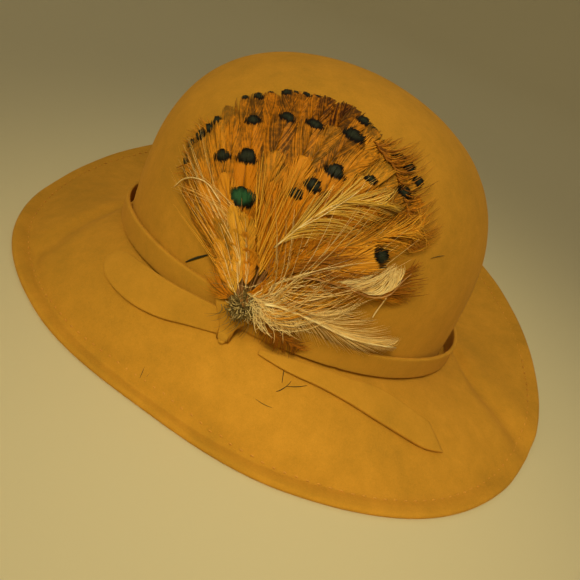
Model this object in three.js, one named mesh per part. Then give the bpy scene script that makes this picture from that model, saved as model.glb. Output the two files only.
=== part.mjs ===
// A felt hat with a round dome crown and a brim that is turned down in front and up behind.
// A band of the same felt goes round the crown. It is tied under a small tab, with two loose
// ends that lie on the brim, and a fan of pheasant feathers is pinned to the tab.
// Millimetres, +Z up, the front of the hat towards -Y, its right seen from the front towards +X.
// The hat stands on the plane z = 0, as it would on a table: on the front of its brim and on
// the back of the head line. "Turn" is the angle round the head, from the front towards +X.
import * as THREE from 'three';
import { mergeVertices } from 'three/addons/utils/BufferGeometryUtils.js';

// Felt
const FELT = 2;                  // thickness of crown, brim, band and ties
const HEM_THICKNESS = 3.2;       // the brim's edge is folded under and stitched
const HEM_WIDTH = 8;
const GAP = 0.3;                 // clearance between pieces that touch

// Crown, outside sizes at the head line
const HEAD_WIDTH = 176;
const HEAD_LENGTH = 192;
const CROWN_HEIGHT = 111;
const CROWN_SHOULDER = 3.46;     // exponents of the dome's profile: higher is squarer
const CROWN_ROUNDING = 2.06;
const CROWN_LEAN_BACK = 5.5;     // how far the top lies behind the head line's middle
const BREAK_RADIUS = 1.5;        // the corner between crown and brim

// Head line above the table: its mean, how much higher the front is, how much the sides dip
const HEAD_RISE = 16.5;
const HEAD_TILT = 17.3;
const HEAD_DIP = 2;

// Brim: its reach out of the crown at the side, and how high the edge stands at the back
const BRIM_REACH = 61;
const BRIM_LIFT = 29;
const BRIM_CURVE = 1.3;          // exponent of the brim's slope from crown to edge
const SETTLE = 1.2;              // how softly the felt bends where it meets the table
const SQUEEZE = 0.2;             // how much thinner it is pressed there
// Every 30 degrees of turn: reach as a share of BRIM_REACH, height as a share of BRIM_LIFT.
// The front would hang a little below the table, which presses it flat.
const BRIM_EDGE = [
  { turn: 0, reach: 0.49, height: -0.20 },
  { turn: 30, reach: 0.68, height: -0.18 },
  { turn: 60, reach: 0.94, height: -0.12 },
  { turn: 90, reach: 1.02, height: 0.20 },
  { turn: 120, reach: 0.99, height: 0.55 },
  { turn: 150, reach: 1.00, height: 0.88 },
  { turn: 180, reach: 0.99, height: 1.00 },
  { turn: 210, reach: 1.00, height: 0.90 },
  { turn: 240, reach: 1.01, height: 0.65 },
  { turn: 270, reach: 0.99, height: 0.21 },
  { turn: 300, reach: 0.88, height: -0.09 },
  { turn: 330, reach: 0.64, height: -0.17 },
];

// The two folds where the turned-down front meets the turned-up sides: for each, its depth
// and half width, and its turn in degrees at shares of the way from crown to edge
const FOLD_WIDTH = 11;
const FOLDS = [
  { depth: 3.2, path: [{ out: 0, turn: 125 }, { out: 0.3, turn: 98 }, { out: 0.6, turn: 91 }, { out: 1, turn: 86 }] },
  { depth: 2.4, path: [{ out: 0, turn: 285 }, { out: 0.3, turn: 300 }, { out: 0.6, turn: 309 }, { out: 1, turn: 316 }] },
];

// Band round the crown. It stands away from the crown at both sides.
const BAND_HEIGHT = 11;
const BAND_SLACK = 3.6;
const BAND_SLACK_WIDTH = 24;     // degrees of turn
const BAND_SLACK_TURNS = [96, 284];

// The tab that holds the ties together, and the ties
const TAB_TURN = 8;              // where its middle is
const TAB_WIDTH = 17;
const TAB_DEPTH = 1.2;           // how far its back stands out of the band
const TIE_WIDTH = 13;
const TIE_CLEARANCE = 0.4;       // over the brim, so that the ties clear its low ridges too
// Ties: for each turn in degrees, how far their two long edges lie out of the crown, as
// shares of TIE_WIDTH, and how high the upper edge is above the brim, as a share as well
const LEFT_TIE = [
  { turn: -2, inner: 0.26, outer: 0.66, lift: 0.62 },
  { turn: -8, inner: 0.25, outer: 0.86, lift: 0.48 },
  { turn: -15, inner: 0.25, outer: 1.02, lift: 0.34 },
  { turn: -22, inner: 0.26, outer: 1.10, lift: 0.20 },
  { turn: -28, inner: 0.30, outer: 1.08, lift: 0.08 },
  { turn: -31.5, inner: 0.38, outer: 0.96, lift: 0.03 },
  { turn: -33.5, inner: 0.52, outer: 0.80, lift: 0.02 },
];
const RIGHT_TIE = [
  { turn: 15, inner: 0.21, outer: 0.50, lift: 0.02 },
  { turn: 25, inner: 0.21, outer: 0.62, lift: 0.02 },
  { turn: 34, inner: 0.21, outer: 0.72, lift: 0.02 },
  { turn: 42, inner: 0.30, outer: 1.04, lift: 0.02 },
  { turn: 49, inner: 0.42, outer: 1.50, lift: 0.02 },
  { turn: 54, inner: 0.70, outer: 1.92, lift: 0.02 },
  { turn: 58.5, inner: 1.15, outer: 2.36, lift: 0.02 },
  { turn: 63, inner: 1.72, outer: 2.66, lift: 0.02 },
];

// Feathers. A place on the fan is a distance and a heading from the knot, along the crown;
// heading 0 goes straight up, 90 to +X.
const KNOT_TURN = 9;
const KNOT_HEIGHT = 9;           // above the head line
const FAN_RADIUS = 93;
const FAN_START = 5;             // distance from the knot where the feathers' quills begin
const FAN_FEATHERS = 11;         // in the outermost row
const FAN_NOTCH = 0.07;          // depth of the notch between two tips, as a share of reach
const FEATHER = 1.1;             // thickness of one layer of feathers
const FEATHER_GAP = 0.6;         // they lie on the felt less tightly than felt on felt
const QUILL_LAYERS = 2.4;        // thickness of the quills' bundle, in layers
const FEATHER_DROP_START = 3;    // above the tab, where the feathers start down to the crown
const FEATHER_DROP_LENGTH = 16;
// The fan's outline: reach at each heading as a share of FAN_RADIUS
const FAN_OUTLINE = [
  { heading: -64, reach: 0.36 },
  { heading: -56, reach: 0.54 },
  { heading: -47, reach: 0.76 },
  { heading: -37, reach: 0.80 },
  { heading: -22, reach: 0.93 },
  { heading: -8, reach: 1.02 },
  { heading: 7, reach: 1.02 },
  { heading: 20, reach: 0.97 },
  { heading: 30, reach: 0.94 },
  { heading: 40, reach: 0.83 },
  { heading: 48, reach: 0.69 },
  { heading: 60, reach: 0.60 },
  { heading: 70, reach: 0.40 },
];
// Rows that lie on the outermost one: reach as a share of the outline, and how many tips
const FAN_ROWS = [
  { reach: 0.83, tips: 9 },
  { reach: 0.64, tips: 7 },
  { reach: 0.45, tips: 5 },
];
// Single feathers: where the quill's foot is, sideways and up from the knot, its heading and
// its bend in degrees, length and width, and how many layers of the fan lie under its foot
// and under its tip. The lengths are shares of FAN_RADIUS.
const PLUMES = [
  {
    name: 'olive_feather', colour: '#a98a3c',
    side: 0.03, up: 0.38, heading: 42, bend: 8, length: 0.48, width: 0.20, foot: 4.5, tip: 3,
  },
  {
    name: 'curled_feather', colour: '#8a4a1c',
    side: 0.37, up: 0.31, heading: 62, bend: -14, length: 0.38, width: 0.12, foot: 2.8, tip: 0.6,
  },
  {
    name: 'cream_plume', colour: '#cdb07a',
    side: 0.09, up: 0.13, heading: 88, bend: 7, length: 0.64, width: 0.17, foot: 5.1, tip: 0.6,
  },
  {
    name: 'under_feather', colour: '#6b3a18',
    side: 0.07, up: 0.0, heading: 98, bend: 6, length: 0.23, width: 0.10, foot: 0.4, tip: 1.2,
  },
];
// The tuft of hackles that covers the knot
const TUFT_RADIUS = 8.5;
const TUFT_DEPTH = 5;
const TUFT_LOCKS = 9;

const degrees = THREE.MathUtils.degToRad;
const halfWidth = HEAD_WIDTH / 2;
const halfLength = HEAD_LENGTH / 2;

// Reads a column of a table at any place, smoothly, from rows sorted by the key column
function readTable(rows, key, column, place) {
  const last = rows.length - 1;
  const at = THREE.MathUtils.clamp(place, rows[0][key], rows[last][key]);
  let i = 0;
  while (i < last - 1 && at > rows[i + 1][key]) i += 1;
  const low = rows[i];
  const high = rows[i + 1];
  const f = (at - low[key]) / (high[key] - low[key]);
  const slope = (k) => {
    const a = rows[Math.max(k - 1, 0)];
    const b = rows[Math.min(k + 1, last)];
    return (b[column] - a[column]) / (b[key] - a[key]);
  };
  const span = high[key] - low[key];
  const f2 = f * f;
  const f3 = f2 * f;
  return (2 * f3 - 3 * f2 + 1) * low[column] + (f3 - 2 * f2 + f) * span * slope(i)
    + (3 * f2 - 2 * f3) * high[column] + (f3 - f2) * span * slope(i + 1);
}

// The brim's table goes all the way round, so a few rows are repeated past both ends
const brimRows = [-2, -1, 0, 1].flatMap((lap) => BRIM_EDGE.map((row) => ({ ...row, turn: row.turn + 360 * lap })));

function brimEdge(column, turn) {
  return readTable(brimRows, 'turn', column, THREE.MathUtils.radToDeg(turn));
}

// Smallest signed angle between two turns, in degrees
function turnBetween(a, b) {
  return THREE.MathUtils.euclideanModulo(a - b + 180, 360) - 180;
}

function bump(distance, width) {
  return Math.exp(-((distance / width) ** 2));
}

// A smooth step from 0 at a to 1 at b
function fade(value, a, b) {
  const f = THREE.MathUtils.clamp((value - a) / (b - a), 0, 1);
  return f * f * (3 - 2 * f);
}

// Keeps a height at or above a floor, bending into it instead of breaking
function settle(height, floor) {
  const h = THREE.MathUtils.clamp(0.5 + (0.5 * (height - floor)) / SETTLE, 0, 1);
  return floor + (height - floor) * h + SETTLE * h * (1 - h);
}

// Height of the head line above the table; pull shrinks it towards the middle of the crown
function headHeight(turn, pull = 1) {
  return HEAD_RISE + pull * (HEAD_TILT * Math.cos(turn) + HEAD_DIP * Math.cos(2 * turn));
}

// A point of the head line's oval in plan, moved out of it by a distance
function headPlan(turn, out = 0) {
  const normal = new THREE.Vector3(Math.sin(turn) / halfWidth, -Math.cos(turn) / halfLength, 0).normalize();
  const oval = new THREE.Vector3(halfWidth * Math.sin(turn), -halfLength * Math.cos(turn), 0);
  return oval.addScaledVector(normal, out);
}

// A point on the crown's outside at a height above the head line, moved off it by a distance
function crownPoint(turn, height, off = 0) {
  const top = CROWN_HEIGHT + off;
  const level = Math.min(height, top);
  const pull = (1 - (Math.max(level, 0) / top) ** CROWN_SHOULDER) ** (1 / CROWN_ROUNDING);
  return new THREE.Vector3(
    (halfWidth + off) * pull * Math.sin(turn),
    -(halfLength + off) * pull * Math.cos(turn) + (CROWN_LEAN_BACK * level) / CROWN_HEIGHT,
    headHeight(turn, pull) + level,
  );
}

// How far a fold pushes the brim down, with a low ridge on both sides of it
function foldDepth(turn, out) {
  return FOLDS.reduce((sum, fold) => {
    const line = readTable(fold.path, 'out', 'turn', out);
    const radius = halfWidth + out * BRIM_REACH;
    const away = (degrees(turnBetween(THREE.MathUtils.radToDeg(turn), line)) * radius) / FOLD_WIDTH;
    const fadeIn = fade(out, 0.02, 0.25);
    return sum + fold.depth * fadeIn * (1 - 0.8 * away * away) * Math.exp(-away * away);
  }, 0);
}

// A point on the brim's upper face; out runs from 0 at the crown to 1 at the edge
function brimPoint(turn, out, lift = 0) {
  const start = headHeight(turn);
  const drop = BRIM_LIFT * brimEdge('height', turn) - start;
  const point = headPlan(turn, BRIM_REACH * brimEdge('reach', turn) * out);
  const height = start + drop * out ** BRIM_CURVE - foldDepth(turn, out);
  const floor = FELT + (HEM_THICKNESS - FELT) * fade(out, 0.7, 0.85) - SQUEEZE;
  point.z = settle(height, floor) + lift;
  return point;
}

// A point above the brim at a distance in millimetres out of the crown
function overBrim(turn, distance, lift) {
  return brimPoint(turn, distance / (BRIM_REACH * brimEdge('reach', turn)), lift);
}

// Normals of a grid of points, facing up and out. Rows go round the hat when wrap is set.
function gridNormals(grid, wrap) {
  const rows = grid.length;
  return grid.map((row, i) => row.map((point, j) => {
    const before = grid[wrap ? (i + rows - 1) % rows : Math.max(i - 1, 0)];
    const after = grid[wrap ? (i + 1) % rows : Math.min(i + 1, rows - 1)];
    const k = j === 0 && wrap === 'pole' ? 1 : j;
    const across = new THREE.Vector3().subVectors(after[k], before[k]);
    const down = new THREE.Vector3().subVectors(row[Math.min(k + 1, row.length - 1)], row[Math.max(k - 1, 0)]);
    return down.cross(across).normalize();
  }));
}

// A closed body between two grids of the same layout: upper face, lower face and rims.
// wrap joins the last row to the first, and 'pole' also closes every row's first point.
function slab(upper, lower, wrap = false) {
  const rows = upper.length;
  const columns = upper[0].length;
  const positions = [...upper.flat(), ...lower.flat()].flatMap((point) => point.toArray());
  const top = (i, j) => (i % rows) * columns + j;
  const under = (i, j) => rows * columns + top(i, j);
  const index = [];
  const quad = (a, b, c, d) => index.push(a, b, c, a, c, d);
  const steps = wrap ? rows : rows - 1;
  for (let i = 0; i < steps; i += 1) {
    for (let j = 0; j < columns - 1; j += 1) {
      quad(top(i, j), top(i, j + 1), top(i + 1, j + 1), top(i + 1, j));
      quad(under(i, j), under(i + 1, j), under(i + 1, j + 1), under(i, j + 1));
    }
    if (wrap !== 'pole') quad(top(i, 0), top(i + 1, 0), under(i + 1, 0), under(i, 0));
    quad(top(i + 1, columns - 1), top(i, columns - 1), under(i, columns - 1), under(i + 1, columns - 1));
  }
  if (!wrap) {
    for (let j = 0; j < columns - 1; j += 1) {
      quad(top(0, j + 1), top(0, j), under(0, j), under(0, j + 1));
      quad(top(rows - 1, j), top(rows - 1, j + 1), under(rows - 1, j + 1), under(rows - 1, j));
    }
  }
  const geometry = new THREE.BufferGeometry();
  geometry.setAttribute('position', new THREE.Float32BufferAttribute(positions, 3));
  geometry.setIndex(index);
  return tidyGeometry(geometry);
}

// Joins shared vertices and drops the triangles that have shrunk to a line
function tidyGeometry(source) {
  const geometry = mergeVertices(source, 1e-4);
  const old = geometry.index.array;
  const kept = [];
  for (let i = 0; i < old.length; i += 3) {
    const [a, b, c] = [old[i], old[i + 1], old[i + 2]];
    if (a !== b && b !== c && c !== a) kept.push(a, b, c);
  }
  geometry.setIndex(kept);
  return geometry;
}

// A closed body of even thickness on top of a grid of points
function padded(grid, thickness) {
  const normals = gridNormals(grid, false);
  const upper = grid.map((row, i) => row.map((point, j) => point.clone().addScaledVector(normals[i][j], thickness)));
  return slab(upper, grid);
}

// Crown and brim are one piece of felt, hollow and open below
function feltBody() {
  const turns = 72;
  const crownRings = 11;
  const cornerRings = 3;
  const brimStops = [0.1, 0.22, 0.36, 0.5, 0.64, 0.77];
  const upper = [];
  const thickness = [];
  for (let i = 0; i < turns; i += 1) {
    const turn = (2 * Math.PI * i) / turns;
    const row = [];
    const walls = [];
    for (let j = 0; j < crownRings; j += 1) {
      const climb = 1 - j / (crownRings - 1);
      const height = BREAK_RADIUS + (CROWN_HEIGHT - BREAK_RADIUS) * Math.sin((climb * Math.PI) / 2);
      row.push(crownPoint(turn, height));
      walls.push(FELT);
    }
    const wall = crownPoint(turn, BREAK_RADIUS);
    const corner = brimPoint(turn, 0);
    const shelf = overBrim(turn, BREAK_RADIUS, 0);
    const bend = new THREE.QuadraticBezierCurve3(wall, corner, shelf);
    for (let j = 1; j <= cornerRings; j += 1) {
      row.push(bend.getPoint(j / cornerRings));
      walls.push(FELT);
    }
    const reach = BRIM_REACH * brimEdge('reach', turn);
    const fold = 1 - HEM_WIDTH / reach;
    for (const stop of brimStops) {
      row.push(brimPoint(turn, stop));
      walls.push(FELT);
    }
    row.push(brimPoint(turn, Math.max(fold, 0.8)));
    walls.push(HEM_THICKNESS);
    row.push(brimPoint(turn, 0.88));
    walls.push(HEM_THICKNESS);
    row.push(brimPoint(turn, 0.97));
    walls.push(HEM_THICKNESS);
    const edge = brimPoint(turn, 1);
    edge.z -= (HEM_THICKNESS - FELT) / 3;
    row.push(edge);
    walls.push(FELT);
    upper.push(row);
    thickness.push(walls);
  }
  const normals = gridNormals(upper, 'pole');
  const lower = upper.map((row, i) => row.map((point, j) => {
    const under = point.clone().addScaledVector(normals[i][j], -thickness[i][j]);
    under.z = Math.max(under.z, 0);
    return under;
  }));
  const topUnder = upper[0][0].clone().add(new THREE.Vector3(0, 0, -FELT));
  lower.forEach((row) => row[0].copy(topUnder));
  return slab(upper, lower, 'pole');
}

// How far the band stands off the crown at a turn
function bandOff(turn) {
  const slack = BAND_SLACK_TURNS.reduce((sum, place) => {
    return sum + bump(turnBetween(THREE.MathUtils.radToDeg(turn), place), BAND_SLACK_WIDTH);
  }, 0);
  return GAP + BAND_SLACK * slack;
}

const BAND_FOOT = BREAK_RADIUS + GAP;
const BAND_FACE = GAP + FELT;

// The band is a ring of felt: its outer face is the upper grid, its inner face the lower one
function band() {
  const turns = 72;
  const levels = [1, 0.5, 0];
  const ring = (extra) => Array.from({ length: turns }, (_, i) => {
    const turn = (2 * Math.PI * i) / turns;
    return levels.map((level) => {
      return crownPoint(turn, BAND_FOOT + BAND_HEIGHT * level, bandOff(turn) + extra);
    });
  });
  return slab(ring(FELT), ring(0), true);
}

// A tie is a strip of felt whose lower edge lies on the brim and whose upper edge leans
// against the band
function tie(rows) {
  const across = 3;
  const steps = 2 * (rows.length - 1);
  const first = rows[0].turn;
  const last = rows[rows.length - 1].turn;
  const ordered = first < last ? rows : [...rows].reverse();
  const grid = Array.from({ length: steps + 1 }, (_, i) => {
    const place = Math.min(first, last) + (Math.abs(last - first) * i) / steps;
    const inner = TIE_WIDTH * readTable(ordered, 'turn', 'inner', place);
    const outer = TIE_WIDTH * readTable(ordered, 'turn', 'outer', place);
    const lift = TIE_WIDTH * readTable(ordered, 'turn', 'lift', place);
    return Array.from({ length: across + 1 }, (_unused, j) => {
      const share = j / across;
      return overBrim(degrees(place), inner + (outer - inner) * share, TIE_CLEARANCE + lift * (1 - share));
    });
  });
  return padded(grid, FELT);
}

// The tab folds over the band's top edge and hangs down in front of it
function tab() {
  const steps = 6;
  const out = BAND_FACE + TAB_DEPTH;
  const over = BAND_FOOT + BAND_HEIGHT + GAP;
  const profile = [
    { out: GAP, height: over },
    { out: out * 0.8, height: over },
    { out, height: over - FELT },
    { out, height: BAND_FOOT + GAP },
  ];
  const halfTurn = THREE.MathUtils.radToDeg(TAB_WIDTH / 2 / halfLength);
  const face = (extra) => Array.from({ length: steps + 1 }, (_, i) => {
    const turn = degrees(TAB_TURN - halfTurn + (2 * halfTurn * i) / steps);
    return profile.map((stop, k) => {
      const raise = k < 3 ? extra : 0;
      const point = headPlan(turn, stop.out + (k > 0 ? extra : 0));
      point.z = headHeight(turn) + stop.height + raise;
      return point;
    });
  });
  return slab(face(FELT), face(0));
}

// A walk up the crown from the knot: the height that is reached after each half millimetre
const WALK_STEP = 0.5;
const walk = (() => {
  const turn = degrees(KNOT_TURN);
  const heights = [KNOT_HEIGHT];
  let height = KNOT_HEIGHT;
  while (height < CROWN_HEIGHT - 0.2) {
    const tiny = 0.02;
    const here = crownPoint(turn, height);
    const there = crownPoint(turn, height + tiny);
    height += (tiny * WALK_STEP) / here.distanceTo(there);
    heights.push(Math.min(height, CROWN_HEIGHT));
  }
  return heights;
})();

// The gap between the crown and the lowest feathers: they pass over the tab and the band
function feathersOff(side, up) {
  const overBand = BAND_FACE + FEATHER_GAP;
  const overTab = BAND_FACE + TAB_DEPTH + FELT + 1.5 * FEATHER_GAP;
  const over = overBand + (overTab - overBand) * (1 - fade(Math.abs(side), TAB_WIDTH * 0.6, TAB_WIDTH * 1.6));
  const drop = BAND_FOOT + BAND_HEIGHT + GAP + FELT + FEATHER_DROP_START - KNOT_HEIGHT;
  return FEATHER_GAP + (over - FEATHER_GAP) * (1 - fade(up, drop, drop + FEATHER_DROP_LENGTH));
}

// A point over the crown, at a distance sideways and up from the knot along the felt
function overCrown(side, up, lift) {
  const place = THREE.MathUtils.clamp(up / WALK_STEP, 0, walk.length - 1);
  const i = Math.min(Math.floor(place), walk.length - 2);
  const height = walk[i] + (walk[i + 1] - walk[i]) * (place - i) + Math.min(up, 0);
  const radius = Math.max(crownPoint(Math.PI / 2, height).x, 1);
  const turn = degrees(KNOT_TURN) + side / radius;
  return crownPoint(turn, height, feathersOff(side, up) + lift);
}

function fanPoint(heading, distance, lift) {
  return overCrown(distance * Math.sin(degrees(heading)), distance * Math.cos(degrees(heading)), lift);
}

// Reach of a row of the fan at a heading; share runs from 0 to 1 across the fan
function rowReach(heading, share, reach, tips) {
  const outline = FAN_RADIUS * readTable(FAN_OUTLINE, 'heading', 'reach', heading);
  const tip = Math.abs(Math.sin(Math.PI * tips * share)) ** 0.7;
  return outline * reach * (1 - FAN_NOTCH * (1 - tip));
}

// The fan is one body of overlapping rows of feathers, each row a step higher than the next
function fan() {
  const columns = 4 * FAN_FEATHERS;
  const first = FAN_OUTLINE[0].heading;
  const last = FAN_OUTLINE[FAN_OUTLINE.length - 1].heading;
  const upper = [];
  const lower = [];
  for (let i = 0; i <= columns; i += 1) {
    const share = i / columns;
    const heading = first + (last - first) * share;
    const ends = [...FAN_ROWS].reverse().map((row) => rowReach(heading, share, row.reach, row.tips));
    const rim = rowReach(heading, share, 1, FAN_FEATHERS);
    const stops = [{ at: FAN_START, layers: QUILL_LAYERS }];
    [...ends, rim].forEach((end, k) => {
      const from = stops[stops.length - 1].at;
      const parts = k === 0 ? 3 : 2;
      const layers = FAN_ROWS.length + 1 - k;
      for (let part = 1; part <= parts; part += 1) {
        stops.push({ at: from + ((end - from) * part) / parts, layers });
      }
      if (end !== rim) stops.push({ at: end + FEATHER, layers: layers - 1 });
    });
    upper.push(stops.map((stop) => fanPoint(heading, stop.at, FEATHER * stop.layers)));
    lower.push(stops.map((stop) => fanPoint(heading, stop.at, 0)));
  }
  return slab(lower, upper);
}

// A single feather: a leaf-shaped blade along a bent quill, thickest at the quill
function plume(row) {
  const steps = 8;
  const across = [-1, -0.5, 0, 0.5, 1];
  const upper = [];
  const lower = [];
  let side = FAN_RADIUS * row.side;
  let up = FAN_RADIUS * row.up;
  for (let i = 0; i <= steps; i += 1) {
    const share = i / steps;
    const course = degrees(row.heading + row.bend * (share - 0.5) * 2);
    const leaf = Math.sin(Math.PI * share ** 0.8) ** 0.8;
    const half = 0.5 * FAN_RADIUS * row.width * (0.12 + 0.88 * leaf);
    const base = FEATHER * (row.foot + (row.tip - row.foot) * share) + GAP;
    const edge = (place, lift) => overCrown(
      side + place * half * Math.cos(course),
      up - place * half * Math.sin(course),
      lift,
    );
    upper.push(across.map((place) => edge(place, base + FEATHER * (1.2 - 0.6 * place * place))));
    lower.push(across.map((place) => edge(place, base)));
    side += (FAN_RADIUS * row.length * Math.sin(course)) / steps;
    up += (FAN_RADIUS * row.length * Math.cos(course)) / steps;
  }
  return slab(upper, lower);
}

// The tuft is a low dome over the quills, with a lobe for each lock of hackles
function tuft() {
  const columns = 4 * TUFT_LOCKS;
  const rings = [0, 0.35, 0.68, 0.9, 1];
  const base = FEATHER * (QUILL_LAYERS + 1) + 2 * FEATHER_GAP;
  const face = (depth) => Array.from({ length: columns }, (_, i) => {
    const angle = (-2 * Math.PI * i) / columns;
    const lock = 0.86 + 0.14 * Math.abs(Math.cos((TUFT_LOCKS * angle) / 2));
    return rings.map((ring) => {
      const radius = TUFT_RADIUS * ring * (ring < 0.5 ? 1 : lock);
      const lift = base + depth * Math.sqrt(1 - 0.9 * ring * ring);
      return overCrown(radius * Math.sin(angle), radius * Math.cos(angle), lift);
    });
  });
  return slab(face(TUFT_DEPTH), face(0), 'pole');
}

const material = (colour, roughness) => new THREE.MeshStandardMaterial({ color: colour, roughness, metalness: 0 });

function named(name, geometry, finish) {
  geometry.computeVertexNormals();
  const mesh = new THREE.Mesh(geometry, finish);
  mesh.name = name;
  return mesh;
}

const felt = () => material('#b67a22', 0.95);
const hat = new THREE.Group();
hat.add(named('felt_body', feltBody(), felt()));
hat.add(named('hat_band', band(), felt()));
hat.add(named('band_tab', tab(), felt()));
hat.add(named('tie_left', tie(LEFT_TIE), felt()));
hat.add(named('tie_right', tie(RIGHT_TIE), felt()));
hat.add(named('feather_fan', fan(), material('#a4601f', 0.7)));
for (const row of PLUMES) {
  hat.add(named(row.name, plume(row), material(row.colour, 0.7)));
}
hat.add(named('hackle_tuft', tuft(), material('#3d3524', 0.8)));

// The origin is the middle of the hat's footprint, on the table
const box = new THREE.Box3().setFromObject(hat);
const middle = box.getCenter(new THREE.Vector3());
hat.position.set(-middle.x, -middle.y, -box.min.z);

export default hat;
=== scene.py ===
# %% [markdown]
# # A felt hat with a feather cockade
#
# The real hat is one piece of wool felt, steamed over a block: a round crown and a brim that is
# turned down in front and up behind. A strip of the same felt goes round the crown, and is tied
# under a small tab. A fan of pheasant feathers is pinned over the knot.
#
# Felt could be sculpted by hand. Here each surface is a formula of a few sizes in millimetres,
# so that band, ties and feathers can be laid exactly on the felt that carries them.

import math

import bpy
import numpy as np
from mathutils import Matrix, Vector


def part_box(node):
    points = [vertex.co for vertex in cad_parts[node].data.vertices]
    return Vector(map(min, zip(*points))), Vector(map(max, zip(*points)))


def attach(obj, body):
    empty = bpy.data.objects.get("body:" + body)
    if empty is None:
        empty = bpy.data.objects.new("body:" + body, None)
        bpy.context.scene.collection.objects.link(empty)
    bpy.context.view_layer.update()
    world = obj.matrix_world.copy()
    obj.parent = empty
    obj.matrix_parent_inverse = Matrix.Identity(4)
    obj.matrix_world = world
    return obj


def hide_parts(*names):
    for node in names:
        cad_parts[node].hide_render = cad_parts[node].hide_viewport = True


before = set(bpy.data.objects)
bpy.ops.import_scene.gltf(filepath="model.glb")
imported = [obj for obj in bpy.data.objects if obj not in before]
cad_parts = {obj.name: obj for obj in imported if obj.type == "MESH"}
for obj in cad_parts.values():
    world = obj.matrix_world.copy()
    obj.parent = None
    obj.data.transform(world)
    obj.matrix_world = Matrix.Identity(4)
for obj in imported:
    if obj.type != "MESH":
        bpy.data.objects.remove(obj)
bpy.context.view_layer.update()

# %% [markdown]
# ## Camera
#
# The picture was taken from in front and above, from a hand's reach away and with the camera
# rolled, so that the hat seems to lean. Three angles and a place say all of that. The three axes
# of the camera are built from the angles, because that keeps the roll a number of its own.

# %% Put the camera where the picture was taken
MM = 0.001
CAMERA_PLACE = (80.3, -300.6, 180.2)
CAMERA_AZIMUTH = 15.4
CAMERA_ELEVATION = 30.5
CAMERA_ROLL = 23.4
CAMERA_LENS = 38.5


def camera_axes(azimuth, elevation, roll):
    """The right, up and back axes of a camera that looks at the hat from an azimuth."""
    a, e, r = (math.radians(angle) for angle in (azimuth, elevation, roll))
    back = Vector((math.sin(a) * math.cos(e), -math.cos(a) * math.cos(e), math.sin(e)))
    level = Vector((math.cos(a), math.sin(a), 0))
    right = level * math.cos(r) + back.cross(level) * math.sin(r)
    return right, back.cross(right), back


camera = bpy.data.objects.new("camera", bpy.data.cameras.new("camera"))
bpy.context.scene.collection.objects.link(camera)
camera.data.lens = CAMERA_LENS
camera.data.clip_start = 0.01
camera.matrix_world = Matrix.Translation(Vector(CAMERA_PLACE) * MM) @ Matrix(
    camera_axes(CAMERA_AZIMUTH, CAMERA_ELEVATION, CAMERA_ROLL)
).transposed().to_4x4()
bpy.context.scene.camera = camera
print("camera stands", round(camera.matrix_world.translation.length, 3), "m from the origin")

# %% [markdown]
# ## Sizes of the hat
#
# These are the sizes that the fixed frame was made from, in millimetres. A turn is an angle
# round the head, from the front towards +X. Brim tables give their lengths as shares of the
# brim's reach and of its lift at the back.

# %% Name the sizes
FELT = 2.0
HEM_THICKNESS = 3.2
GAP = 0.3
HALF_WIDTH = 88.0
HALF_LENGTH = 96.0
CROWN_HEIGHT = 111.0
CROWN_SHOULDER = 3.46
CROWN_ROUNDING = 2.06
CROWN_LEAN_BACK = 5.5
BREAK_RADIUS = 1.5
HEAD_RISE = 16.5
HEAD_TILT = 17.3
HEAD_DIP = 2.0
BRIM_REACH = 61.0
BRIM_LIFT = 29.0
BRIM_CURVE = 1.3
SETTLE = 1.2
SQUEEZE = 0.2
BRIM_TURNS = [0, 30, 60, 90, 120, 150, 180, 210, 240, 270, 300, 330]
BRIM_REACHES = [0.49, 0.68, 0.94, 1.02, 0.99, 1.00, 0.99, 1.00, 1.01, 0.99, 0.88, 0.64]
BRIM_HEIGHTS = [-0.20, -0.18, -0.12, 0.20, 0.55, 0.88, 1.00, 0.90, 0.65, 0.21, -0.09, -0.17]
FOLD_WIDTH = 11.0
FOLD_RIDGE = 0.8
# Shares of the brim's reach over which the folds and the hem's thickness set in
FOLD_BEGINS = (0.02, 0.25)
HEM_BEGINS = (0.7, 0.85)
FOLDS = [
    {"depth": 3.2, "out": [0, 0.3, 0.6, 1], "turn": [125, 98, 91, 86]},
    {"depth": 2.4, "out": [0, 0.3, 0.6, 1], "turn": [285, 300, 309, 316]},
]
print("crown", 2 * HALF_WIDTH, "x", 2 * HALF_LENGTH, "mm, brim reaches", BRIM_REACH, "mm")

# %% [markdown]
# ## The felt as a formula
#
# The crown is a superellipse: straight walls that round over into a flat dome. The brim leaves
# it at the head line, runs down or up to its edge, and settles on the table where it would
# sink below it. Both are written for whole arrays of places at once, which keeps them fast.


# %% Write the surfaces
def stacked(*parts):
    """Arrays and numbers side by side, as the last axis of one array."""
    return np.stack(np.broadcast_arrays(*parts), -1)


def unit(vectors):
    return vectors / np.maximum(np.linalg.norm(vectors, axis=-1, keepdims=True), 1e-9)


def part_way(pair, share):
    return pair[0] + (pair[1] - pair[0]) * share


def read_table(keys, values, place):
    """A smooth curve through the rows of a table."""
    keys = np.asarray(keys, float)
    values = np.asarray(values, float)
    last = len(keys) - 1
    at = np.clip(place, keys[0], keys[-1])
    i = np.clip(np.searchsorted(keys, at, side="left") - 1, 0, last - 1)
    before = np.maximum(np.arange(last + 1) - 1, 0)
    after = np.minimum(np.arange(last + 1) + 1, last)
    slopes = (values[after] - values[before]) / (keys[after] - keys[before])
    span = keys[i + 1] - keys[i]
    f = (at - keys[i]) / span
    f2 = f * f
    f3 = f2 * f
    start = (2 * f3 - 3 * f2 + 1) * values[i] + (f3 - 2 * f2 + f) * span * slopes[i]
    end = (3 * f2 - 2 * f3) * values[i + 1] + (f3 - f2) * span * slopes[i + 1]
    return start + end


LAPPED_TURNS = [turn + 360 * lap for lap in (-2, -1, 0, 1) for turn in BRIM_TURNS]


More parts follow.
